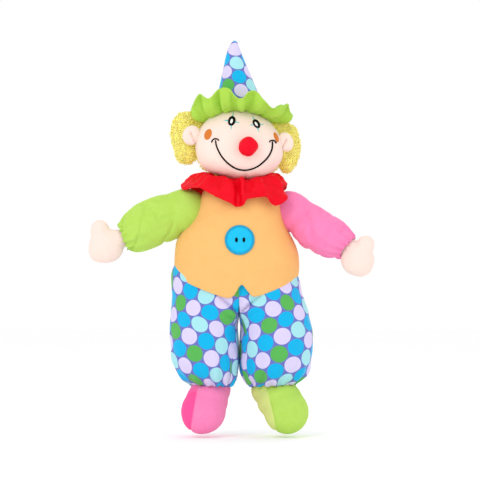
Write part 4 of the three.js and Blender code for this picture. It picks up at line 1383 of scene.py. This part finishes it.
# ------------------------------------------------------------------ head
@dataclass
class Head:
    """The round head: a peach face, a yellow pile back, ears, curls and embroidered features."""

    middle: tuple[float, float] = (0.0, 328.0)
    half_depth: float = 45.0
    outline: tuple[tuple[float, float], ...] = (
        (-49.9, 330.2), (-48.2, 341), (-44, 349.5), (-34, 360.8), (-20, 369), (-4.6, 372.5), (13, 370),
        (29.5, 361.4), (40, 350.5), (47.8, 338.1), (50.3, 326), (49.0, 314), (42.6, 303.5), (36, 297),
        (29.5, 293), (19, 290.4), (7.2, 289.4), (-8, 290.8), (-23, 294.6), (-34, 299.2), (-43.2, 306.5),
        (-48.2, 317))
    eyes: tuple[tuple[float, float, float, float, float], ...] = (
        (-8.2, 356.0, 4.4, 5.9, 16), (19.6, 352.8, 3.7, 5.9, -33))
    crosses: tuple[tuple[tuple[float, float], ...], ...] = (
        ((-6.1, 367.4), (-7.4, 360), (-8.4, 352), (-9.1, 345.2)), ((-18, 357), (-8.4, 355.9), (1, 353.6)),
        ((15, 363), (17.6, 356.5), (20.4, 349), (23, 343)), ((12, 351), (19.6, 352.3), (28.2, 352.2)))
    smile: tuple[tuple[float, float], ...] = (
        (-26.6, 334.8), (-25.6, 328.5), (-23, 321.8), (-19.4, 315.6), (-15.1, 310.6), (-10, 306.2),
        (-4.6, 302.8), (1, 300.9), (7.2, 300.4), (14, 301.6), (20.3, 304.2), (26.5, 308.8), (32.1, 314.5),
        (35.4, 319.8), (37.3, 325.4), (37.7, 333.6))
    caps: tuple[tuple[tuple[float, float], ...], ...] = (
        ((-31.2, 331.0), (-29.6, 334.4), (-26.8, 335.8), (-24.2, 335.2), (-22.2, 333.2)),
        ((33.8, 331.6), (35.6, 333.6), (38.0, 334.2), (40.6, 333.0), (42.2, 330.4)))
    cheeks: tuple[tuple[float, float, float, float, float], ...] = (
        (-35.0, 340.8, 4.2, 6.7, 20), (42.0, 337.8, 2.4, 6.3, -20))
    nose_place: tuple[float, float] = (10.1, 326.3)
    nose_radius: float = 11.2

    def reach(self, turn: np.ndarray) -> np.ndarray:
        """How far the outline lies from the middle, by the way round in radians."""
        rim = np.array(self.outline) - np.array(self.middle)
        angles = np.degrees(np.arctan2(rim[:, 1], rim[:, 0]))
        order = np.argsort(angles)
        return around(list(zip(angles[order], np.linalg.norm(rim, axis=1)[order])), np.degrees(turn))

    def cup(self, name: str, behind: bool) -> bpy.types.Object:
        """One half of the head, front or back, from the seam to its pole."""

        def place(u: np.ndarray, v: np.ndarray) -> tuple[np.ndarray, ...]:
            turn = u * math.tau
            lat = np.clip(1 - v, 0, 1) * math.pi / 2
            fullness = 0.92 if behind else 0.76
            far = self.reach(turn) * np.sin(lat) ** fullness
            x = self.middle[0] + np.cos(turn) * far
            z = self.middle[1] + np.sin(turn) * far
            deep = self.half_depth * np.cos(lat) ** fullness
            jowl = 1 - 0.10 * np.clip(np.sin(turn), 0, 1) * np.sin(lat)
            y = (1 if behind else -1) * deep * jowl
            return x, y, z

        return cloth_grid(name, 128, 56, place, (310, 75), closed=True)

    def face(self) -> bpy.types.Object:
        """Makes the face panel with its chin dart and stuffing dimples."""
        face = self.cup("face_cloth", behind=False)
        points = points_of(face)
        stuff(face, points[:, 1] > -9, 2.0, 2.0)

        def dents(p: np.ndarray) -> np.ndarray:
            dart = groove(p[:, 0] - 7.0, 1.3) * np.clip((302 - p[:, 2]) / 9, 0, 1) * (p[:, 1] < 0)
            smile = groove(np.abs(np.hypot((p[:, 0] - 6) / 1.04, p[:, 2] - 334.5) - 33.8), 2.4)
            smile = smile * (p[:, 2] < 330) * (p[:, 1] < -12)
            socket = groove(np.hypot(p[:, 0] - 5.5, p[:, 2] - 352), 13)
            cheeks = groove(np.hypot(p[:, 0] + 24, p[:, 2] - 322), 15)
            cheeks = cheeks + groove(np.hypot(p[:, 0] - 38, p[:, 2] - 322), 13)
            chin = groove(np.hypot(p[:, 0] - 6, (p[:, 2] - 296) * 1.2), 12)
            return (-2.0 * dart - 0.9 * smile - 1.1 * socket + 1.0 * cheeks + 0.9 * chin
                    + unevenness(p, 30, 51) * 0.4) * np.clip(-p[:, 1] / 10, 0, 1)

        relief(face, dents)
        subdivide(face)
        sew(face, Finish.SKIN, "skin", "head", "face_panel", "head_stuffing")
        return face

    def features(self, face: bpy.types.Object) -> None:
        """Embroiders the eyes, the mouth and the cheeks, and sews the nose on."""
        skin = Skin(face)
        for word, (x, z, a, b, tilt) in zip(("right", "left"), self.eyes):
            ring = patch(f"eye_ring_{word}", skin, (x, z), (a, b), tilt, 1.5)
            sew(ring, Finish.BLACK, "thread", "head", f"eye_{word}")
            inner = (a * 0.34, b * 0.5)
            white = patch(f"eye_white_{word}", Skin(ring), (x - 0.2, z - 0.2), inner, tilt, 0.5)
            sew(white, Finish.WHITE, "thread", "head")
        for number, route in enumerate(self.crosses):
            proud = 0.65 if number % 2 == 0 else 0.55  # the upright lies over the level one
            line = stitched_line(f"eye_cross_{number + 1}", skin, route, 2.4, proud, taper=0.5)
            sew(line, Finish.TEAL, "thread", "head")
        mouth = stitched_line("mouth_line", skin, self.smile, 1.7, 1.1, taper=0.02)
        sew(mouth, Finish.BLACK, "thread", "head", "mouth")
        for word, route in zip(("right", "left"), self.caps):
            corner = stitched_line(f"mouth_corner_{word}", skin, route, 1.6, 1.1, taper=0.08)
            sew(corner, Finish.BLACK, "thread", "head")
        for word, (x, z, a, b, tilt) in zip(("right", "left"), self.cheeks):
            cheek = patch(f"cheek_stitching_{word}", skin, (x, z), (a, b), tilt, 0.9)
            sew(cheek, Finish.ORANGE, "cheek", "head", f"cheek_{word}")
        x, z = self.nose_place
        touch = skin.lay(np.array([x]), np.array([z]), np.array([0.0]))[0]
        r = self.nose_radius

        def ball(u: np.ndarray, v: np.ndarray) -> tuple[np.ndarray, ...]:
            turn, lat = u * math.tau, (v - 0.5) * math.pi
            pinch = 1 + 0.012 * np.sin(turn * 5 + 1) * np.cos(lat) + 0.01 * np.sin(turn * 3 + lat * 4)
            out = r * np.cos(lat) * pinch
            y = touch[1] - r * 0.62 - np.sin(lat) * r * 0.95
            return x + np.sin(turn) * out, y, z + np.cos(turn) * out * 0.98

        nose = cloth_grid("nose_ball", 44, 28, ball, (70, 35), closed=True)
        relief(nose, lambda p: unevenness(p, 16, 91) * 1.2)
        subdivide(nose)
        sew(nose, Finish.NOSE, "nose", "head", "nose")

    def ear(
        self, word: str, middle: tuple[float, float, float], half: tuple[float, float], lean: float
    ) -> None:
        """Makes one stuffed ear with a crease along its inside.

        Args:
            word: The ear's side, right or left.
            middle: Its middle.
            half: Its half width and half height.
            lean: How far its top leans to the puppet's left, in degrees.
        """
        turn_by = math.radians(lean)

        def place(u: np.ndarray, v: np.ndarray) -> tuple[np.ndarray, ...]:
            turn, lat = u * math.tau, (v - 0.5) * math.pi
            a, b = np.sin(turn) * np.cos(lat) * half[0], np.cos(turn) * np.cos(lat) * half[1]
            y = np.sin(lat) * 5.5
            inner = np.hypot(a / half[0], b / half[1])
            side = -SIDES[word]  # the fold runs from the middle of the ear to where it is sewn on
            far, high = side * a / half[0], b / half[1]
            fold = groove(high - 0.1 + 0.75 * (far + 0.1), 0.12) * np.clip((far + 0.35) / 0.2, 0, 1)
            hollow = (groove(inner, 0.5) * 1.2 + fold * 2.6) * (lat < 0)
            return (middle[0] + a * math.cos(turn_by) + b * math.sin(turn_by), middle[1] + y + hollow,
                    middle[2] + b * math.cos(turn_by) - a * math.sin(turn_by))

        ear = cloth_grid(f"ear_cloth_{word}", 72, 56, place, (60, 30), closed=True)
        sew(ear, Finish.SKIN, "skin", "head", f"ear_{word}")

    def curls(self, name: str, base: bpy.types.Object, count: int, length: float, seed: int,
              keep: Callable[[np.ndarray], np.ndarray]) -> bpy.types.Object:
        """Covers a form with curled yarn tufts and joins them to it.

        Args:
            name: The piece's name.
            base: The form that they grow from.
            count: How many tufts.
            length: Their length in millimetres.
            seed: Chooses their places.
            keep: Which root points may grow one.

        Returns:
            The form with its tufts.
        """
        rng = np.random.default_rng(seed)
        mesh = base.data
        mesh.calc_loop_triangles()
        triangles = np.array([t.vertices[:] for t in mesh.loop_triangles])
        points = points_of(base)
        a, b, c = (points[triangles[:, k]] for k in range(3))
        cross = np.cross(b - a, c - a)
        area = np.linalg.norm(cross, axis=1)
        chosen = rng.choice(len(area), size=count, p=area / area.sum())
        s, t = rng.random((2, count))
        flip = s + t > 1
        s[flip], t[flip] = 1 - s[flip], 1 - t[flip]
        roots = a[chosen] + (b - a)[chosen] * s[:, None] + (c - a)[chosen] * t[:, None]
        normals = cross[chosen] / area[chosen][:, None]
        may = keep(roots)
        roots, normals = roots[may], normals[may]
        n = len(roots)
        helper = rng.normal(size=(n, 3))
        side = np.cross(normals, helper)
        side /= np.linalg.norm(side, axis=1)[:, None]
        other = np.cross(normals, side)
        rings, corners = 6, 4
        reach = length * rng.uniform(0.65, 1.15, n)
        twist = rng.choice([-1, 1], n) * rng.uniform(1.1, 1.9, n)
        start = rng.uniform(0, math.tau, n)
        verts = []
        for k in range(rings):
            share = k / (rings - 1)
            spin = start + twist * share * math.tau * 0.8
            curl = length * 0.3 * share
            centre = (roots + normals * (reach * share * 0.85 - 1.0)[:, None]
                      + side * (np.cos(spin) * curl)[:, None] + other * (np.sin(spin) * curl)[:, None])
            thick = 0.95 * (1 - share**2 * 0.8)
            for m in range(corners):
                angle = m / corners * math.tau
                verts.append(centre + (side * math.cos(angle) + other * math.sin(angle)) * thick)
        verts = np.array(verts).transpose(1, 0, 2).reshape(-1, 3)
        faces = []
        for k in range(rings - 1):
            for m in range(corners):
                low, high = k * corners, (k + 1) * corners
                faces.append((low + m, low + (m + 1) % corners, high + (m + 1) % corners, high + m))
        faces.append(tuple(range((rings - 1) * corners, rings * corners)))
        per = rings * corners
        joined = [tuple(index + tuft * per for index in face) for tuft in range(n) for face in faces]
        tufts = bpy.data.meshes.new(name)
        placed = in_frame(verts[:, 0], verts[:, 1], verts[:, 2])
        tufts.from_pydata(placed.tolist(), [], joined)
        tufts.update()
        tuft_piece = bpy.data.objects.new(name, tufts)
        bpy.context.scene.collection.objects.link(tuft_piece)
        bpy.ops.object.select_all(action="DESELECT")
        tuft_piece.select_set(True)
        base.select_set(True)
        bpy.context.view_layer.objects.active = base
        bpy.ops.object.join()
        base.name = base.data.name = name
        only(base)
        bpy.ops.object.shade_smooth()
        return base

    def build(self) -> None:
        """Makes the whole head."""
        face = self.face()
        self.features(face)
        self.ear("right", (-54.0, -15, 340.6), (10.2, 11.4), 24)
        self.ear("left", (53.0, -15, 333.0), (8.6, 11.2), -18)
        back = self.cup("head_back_pile", behind=True)
        relief(back, lambda p: unevenness(p, 9, 61) * 0.8 - 0.4)
        back = self.curls(
            "head_back_pile", back, 2300, 4.2, 62, lambda p: (p[:, 1] > -2) & (p[:, 2] < 366))
        sew(back, Finish.PILE, "hair", "head", "head_back")
        lumps = {
            "right": (Ball((-60, 12, 343), (17, 17, 24)), Ball((-63, 11, 352), (12, 15, 14.5)),
                      Ball((-60, 10, 323), (12.5, 14, 13.5)), Ball((-49, 16, 342), (12, 17, 22))),
            "left": (Ball((57, 12, 328), (11.5, 17, 24)), Ball((58, 11, 339), (9.5, 15, 14)),
                     Ball((54.5, 10, 312), (8.5, 14, 12.5)), Ball((49, 16, 328), (11, 17, 22)),
                     Ball((45, 14, 347), (12, 14, 13))),
        }
        for number, (word, balls) in enumerate(lumps.items()):
            lump = merged_balls(f"hair_curls_{word}", balls, 2.4, 8)
            relief(lump, lambda p: unevenness(p, 10, 71) * 1.3)
            lump = self.curls(
                f"hair_curls_{word}", lump, 2600, 4.2, 72 + number,
                lambda p: (np.abs(p[:, 0]) > 44) & (p[:, 1] > -9))
            sew(lump, Finish.PILE, "hair", "head", f"hair_{word}")

        def tube(u: np.ndarray, v: np.ndarray) -> tuple[np.ndarray, ...]:
            turn = u * math.tau
            r = 17.6 + np.sin(turn * 12) * 0.25 * np.sin(v * math.pi)
            wall = np.clip((v - 0.9) / 0.1, 0, 1) * 2
            height = 258 + np.clip(v / 0.9, 0, 1) * 38.0
            return np.sin(turn) * (r - wall), -np.cos(turn) * (r - wall), height

        neck = cloth_grid("neck_cloth", 60, 26, tube, (110, 40), closed=True)
        apply_modifier(neck, "SOLIDIFY", thickness=1.2 * MM, offset=-1.0)
        sew(neck, Finish.SKIN, "skin", "neck", "neck_tube")


# ------------------------------------------------------------------ hat
@dataclass
class Hat:
    """The tall dotted hat with a lime ruffle at its foot."""

    middle: Table = (
        (354, 0.5), (366, 0.2), (380, -0.6), (394, -1.7), (415, -3.7), (433, -5.3), (442, -5.5),
        (447, -5.1), (449.2, -4.9))
    half: Table = (
        (354, 31), (366, 31), (380, 26.4), (394, 21.4), (415, 14.8), (433, 8.7), (440, 6.5), (445, 4.2),
        (448, 2.2), (449.2, 0.05))
    flatness: Table = ((354, 0.72), (370, 0.74), (407, 1), (450, 1))
    foot: float = 362.0
    slant: float = 1.277  # how far the print runs along the cloth for each millimetre of height
    first_dot: float = 7.3
    tip: float = 449.2
    cut: tuple[float, float] = (178, 97)
    cone_share: float = 0.315  # the part of a circle that the cone's cloth makes when laid flat
    cone_turn: float = -0.06  # how far the print is turned on it, in radians
    ruffle: tuple[tuple[float, float, float], ...] = (
        (-172, 50, 378), (-155, 53, 368), (-138, 50, 380), (-122, 54, 369), (-106, 53, 376), (-90, 55, 369),
        (-76, 54.5, 373), (-64, 56, 380), (-55, 54, 387.5), (-49, 52.5, 385), (-43, 51, 382.5),
        (-36, 50, 386), (-28, 50, 392), (-20, 50, 394.5), (-12, 51, 392), (-7, 50, 385.5), (0, 49, 382),
        (6, 50, 383.5),
        (11, 51, 388.5), (18, 51, 390.5), (25, 50, 388), (33, 53, 378.5), (44, 54, 371), (54, 58, 374),
        (64, 60, 377), (75, 58.5, 370), (88, 59.5, 365), (102, 56, 368), (118, 54, 378), (134, 52, 370),
        (150, 54, 380), (164, 50, 370))

    def print_cone(self, hat: bpy.types.Object) -> None:
        """Lays the dots on the cone as on a flat sheet rolled up, from the tip down."""
        layer = hat.data.uv_layers.active.data
        flat = np.empty(len(layer) * 2)
        layer.foreach_get("uv", flat)
        corners = np.empty(len(hat.data.loops), dtype=int)
        hat.data.loops.foreach_get("vertex_index", corners)
        far = (self.tip - points_of(hat)[corners, 2]) * self.slant + self.first_dot
        turn = (flat.reshape(-1, 2)[:, 0] / (self.cut[0] * MM) - 0.5) * math.tau
        spread = turn * self.cone_share + self.cone_turn
        row = DotPrint.pitch_mm
        cut = np.stack([-far * np.sin(spread), -far * np.cos(spread) - row], axis=-1)
        layer.foreach_set("uv", cut.ravel() * MM)

    def build(self) -> None:
        """Makes the cone and its ruffle."""

        def cone(u: np.ndarray, v: np.ndarray) -> tuple[np.ndarray, ...]:
            turn = (u - 0.5) * math.tau
            up = np.where(v < 0.86, v / 0.86 * 0.9, 0.9 + (v - 0.86) / 0.14 * 0.1)
            z = self.foot + (self.tip - self.foot) * up
            r = smooth(self.half, z)
            pucker = np.sin(turn * 17 + 0.6 * np.sin(turn * 4)) * np.exp(-(z - self.foot) / 20) * 0.035
            seam = groove(np.abs(turn) - math.pi, 0.09) * 0.9
            r = r * (1 + pucker) - seam * np.clip(r / 12, 0, 1)
            return smooth(self.middle, z) + np.sin(turn) * r, -np.cos(turn) * r * smooth(self.flatness, z), z

        hat = cloth_grid("hat_cloth", 88, 76, cone, self.cut, closed=True)
        self.print_cone(hat)
        height = points_of(hat)[:, 2]
        stuff(hat, (height < 372) | (height > 440), 1.2, 1.5)
        relief(hat, lambda p: unevenness(p, 20, 81) * 0.45)
        sew(hat, Finish.PRINT, "hat", "head", "hat_cone", "hat_stuffing")
        rows = np.array(self.ruffle)

        def strip(u: np.ndarray, v: np.ndarray) -> tuple[np.ndarray, ...]:
            degrees = (u - 0.5) * 360
            turn = np.radians(degrees)
            far = around(list(zip(rows[:, 0], rows[:, 1])), degrees)
            high = around(list(zip(rows[:, 0], rows[:, 2])), degrees)
            near = 34.8 + 1.3 * np.sin(turn * 26)
            low = 368.2 - 11.0 * np.sin(turn) ** 2 + 0.7 * np.cos(turn * 26)
            bulge = np.sin(np.clip(v, 0, 1) * math.pi)
            wave = np.sin(turn * 14 + 0.5 + 0.8 * np.sin(turn * 3)) + 0.3 * np.sin(turn * 29 + 1.4)
            fold = power(wave, 0.7) * np.sin(np.clip(v * 0.95 + 0.05, 0, 1) * math.pi) ** 0.7
            r = near + (far - near) * v**0.85 + bulge * 2.4 + fold * 4.2
            z = low + (high - low) * v**1.15 - bulge * 2.8 - fold * 1.6
            curl = np.clip((v - 0.86) / 0.14, 0, 1)
            z = z - curl * 1.2
            r = r + curl * 0.8
            flat = 0.68 + 0.32 * v**0.7
            return np.sin(turn) * r - 0.6 * (1 - v) + 0.4 * v, -np.cos(turn) * r * flat, z

        ruffle = cloth_grid("hat_ruff", 300, 34, strip, (330, 34), closed=False)
        edit(ruffle, lambda: bpy.ops.mesh.remove_doubles(threshold=SEWN_WITHIN))
        apply_modifier(ruffle, "SOLIDIFY", thickness=1.5 * MM, offset=0.0)
        sew(ruffle, Finish.HAT_LIME, "hat_ruffle", "head", "hat_ruffle")


# ------------------------------------------------------------------ studio
@dataclass
class Studio:
    """A pale floor, soft lights and the camera."""

    distance: float = 3.5
    view_width: float = 0.548
    centre: tuple[float, float] = (1.1, 221.5)

    def light(
        self, name: str, place: tuple[float, float, float], size: float, power_w: float, colour: str
    ) -> None:
        """Hangs one soft box, pointed at the puppet.

        Args:
            name: The light's name.
            place: Where it hangs, in metres.
            size: Its width in metres.
            power_w: Its power.
            colour: Its sRGB hex colour.
        """
        lamp = bpy.data.lights.new(name, "AREA")
        lamp.shape, lamp.size, lamp.energy = "DISK", size, power_w
        lamp.color = linear(colour)[:3]
        body = bpy.data.objects.new(name, lamp)
        body.location = place
        target = Vector((0, MIDDLE_Y, 0.02))
        body.rotation_euler = (target - body.location).to_track_quat("-Z", "Y").to_euler()
        bpy.context.scene.collection.objects.link(body)

    def build(self) -> None:
        """Sets the room, the lights and the camera."""
        scene = bpy.context.scene
        bpy.ops.object.select_all(action="DESELECT")
        bpy.ops.mesh.primitive_plane_add(size=8, location=(0, 0, SOLE_Z - 0.002))
        floor = bpy.context.object
        floor.name = "studio_floor"
        material, tree, shader = new_material("white_paper")
        where = add_node(tree, "ShaderNodeTexCoord").outputs["Object"]
        grain = add_node(tree, "ShaderNodeTexNoise", {
            "Vector": where, "Scale": per_metre(4.0)}).outputs["Fac"]
        colour = add_node(tree, "ShaderNodeMix", {
            "Factor": grain, "A": linear("#fcfcfc"), "B": linear("#ffffff")},
            data_type="RGBA").outputs["Result"]
        tree.links.new(colour, shader.inputs[Socket.COLOUR])
        shader.inputs[Socket.ROUGHNESS].default_value = 0.9
        floor.data.materials.append(material)
        world = bpy.data.worlds.new("studio")
        world.use_nodes = True
        world.node_tree.nodes["Background"].inputs[0].default_value = linear("#ffffff")
        world.node_tree.nodes["Background"].inputs[1].default_value = 1.0
        scene.world = world
        self.light("key_box", (-0.9, -1.6, 1.25), 0.9, 8, "#fffaf4")
        self.light("fill_box", (1.3, -1.5, 0.55), 1.2, 2, "#f6f9ff")
        self.light("back_box", (0.3, 1.3, 1.2), 0.9, 4, "#ffffff")
        scene.view_settings.view_transform = "Standard"
        camera = bpy.data.cameras.new("camera")
        camera.sensor_width = 36
        camera.lens = 36 * self.distance / self.view_width
        body = bpy.data.objects.new("camera", camera)
        target = spot(self.centre[0], 0, self.centre[1])
        body.location = target + Vector((0, -self.distance, 0))
        body.rotation_euler = (math.pi / 2, 0, 0)
        scene.collection.objects.link(body)
        scene.camera = body


def main() -> None:
    """Builds the studio and every sub-assembly in order."""
    logging.basicConfig(level=logging.INFO, format="%(message)s")
    Studio().build()
    Vest().build()
    Button().build(bpy.data.objects["vest_front_panel"])
    Collar().build()
    TrouserLeg(
        "right",
        outer=((52, 51), (55.8, 53.5), (58.5, 58), (61, 62), (66, 67), (77, 73), (90, 76.5), (110, 78.3),
               (136, 78.5), (148, 76.4), (158, 75.4), (166, 76.6), (176, 77.8), (186, 76.6), (194, 73.5)),
        inner=((52, 10.5), (54, 9.2), (60, 5), (66, 2.5), (71, 1.6), (80, 0.3), (100, 0), (112, 0.6),
               (124, 1.7), (136, 0.2), (194, 0)),
        turn=-14, shift=(6, 0)).build()
    TrouserLeg(
        "left",
        outer=((52, 59), (56.5, 64), (61, 70.5), (66, 75.8), (73, 80.5), (81, 82.5), (95, 84), (113, 84),
               (128, 81.4), (136, 79.4), (144, 77.4), (152, 74.6), (160, 72.4), (170, 70.2), (178, 68),
               (185, 66.2), (194, 64.5)),
        inner=((52, 14), (54, 12.9), (58, 9.5), (64, 5), (71, 1.8), (80, 0.5), (100, 0.2), (112, 0.8),
               (124, 1.7), (136, 0.2), (194, 0)),
        turn=8, shift=(-4, 6)).build()
    Arm("right", (-0.927, 0, -0.375), (-0.375, 0, 0.927), Finish.LIME, "lime", (
        Ball((-137.5, 0, 222.5), (11.5, 11.5, 12), (-0.93, 0, -0.37)),
        Ball((-151.5, 0, 215), (20.3, 14.5, 20.6), (-0.93, 0, -0.37)),
        Ball((-158.5, -1, 232), (11.4, 9.5, 13.0), (-0.25, 0, 0.97)),
        Ball((-158, 0, 210), (14.5, 12.5, 15.0)),
    )).build()
    Arm("left", (0.815, -0.265, -0.515), (0.515, 0, 0.857), Finish.PINK, "pink", (
        Ball((127.5, -21.5, 210.5), (11.5, 11.5, 12), (0.82, -0.26, -0.51)),
        Ball((134.5, -25, 199.5), (19.6, 14.5, 19.0), (0.70, -0.2, -0.68)),
        Ball((142.5, -26, 214.5), (11.2, 9.5, 13.2), (0.45, 0, 0.89)),
        Ball((137.5, -26, 193.5), (14.5, 12.5, 14.0)),
    ), lifted=-0.9, thin=2.4, fullness=0.93).build()
    Shoe(
        "right", Finish.PINK, "pink", splay=14, seam_offset=-10.0, heel_x=32.6, heel_half=23.0, toe_x=40.5,
        toe_half=25.8).build()
    Shoe(
        "left", Finish.LIME, "lime", splay=18, seam_offset=-16.0, heel_x=39.5, heel_half=26.0, toe_x=53.0,
        toe_half=26.0).build()
    Head().build()
    Hat().build()


if __name__ == "__main__":
    main()
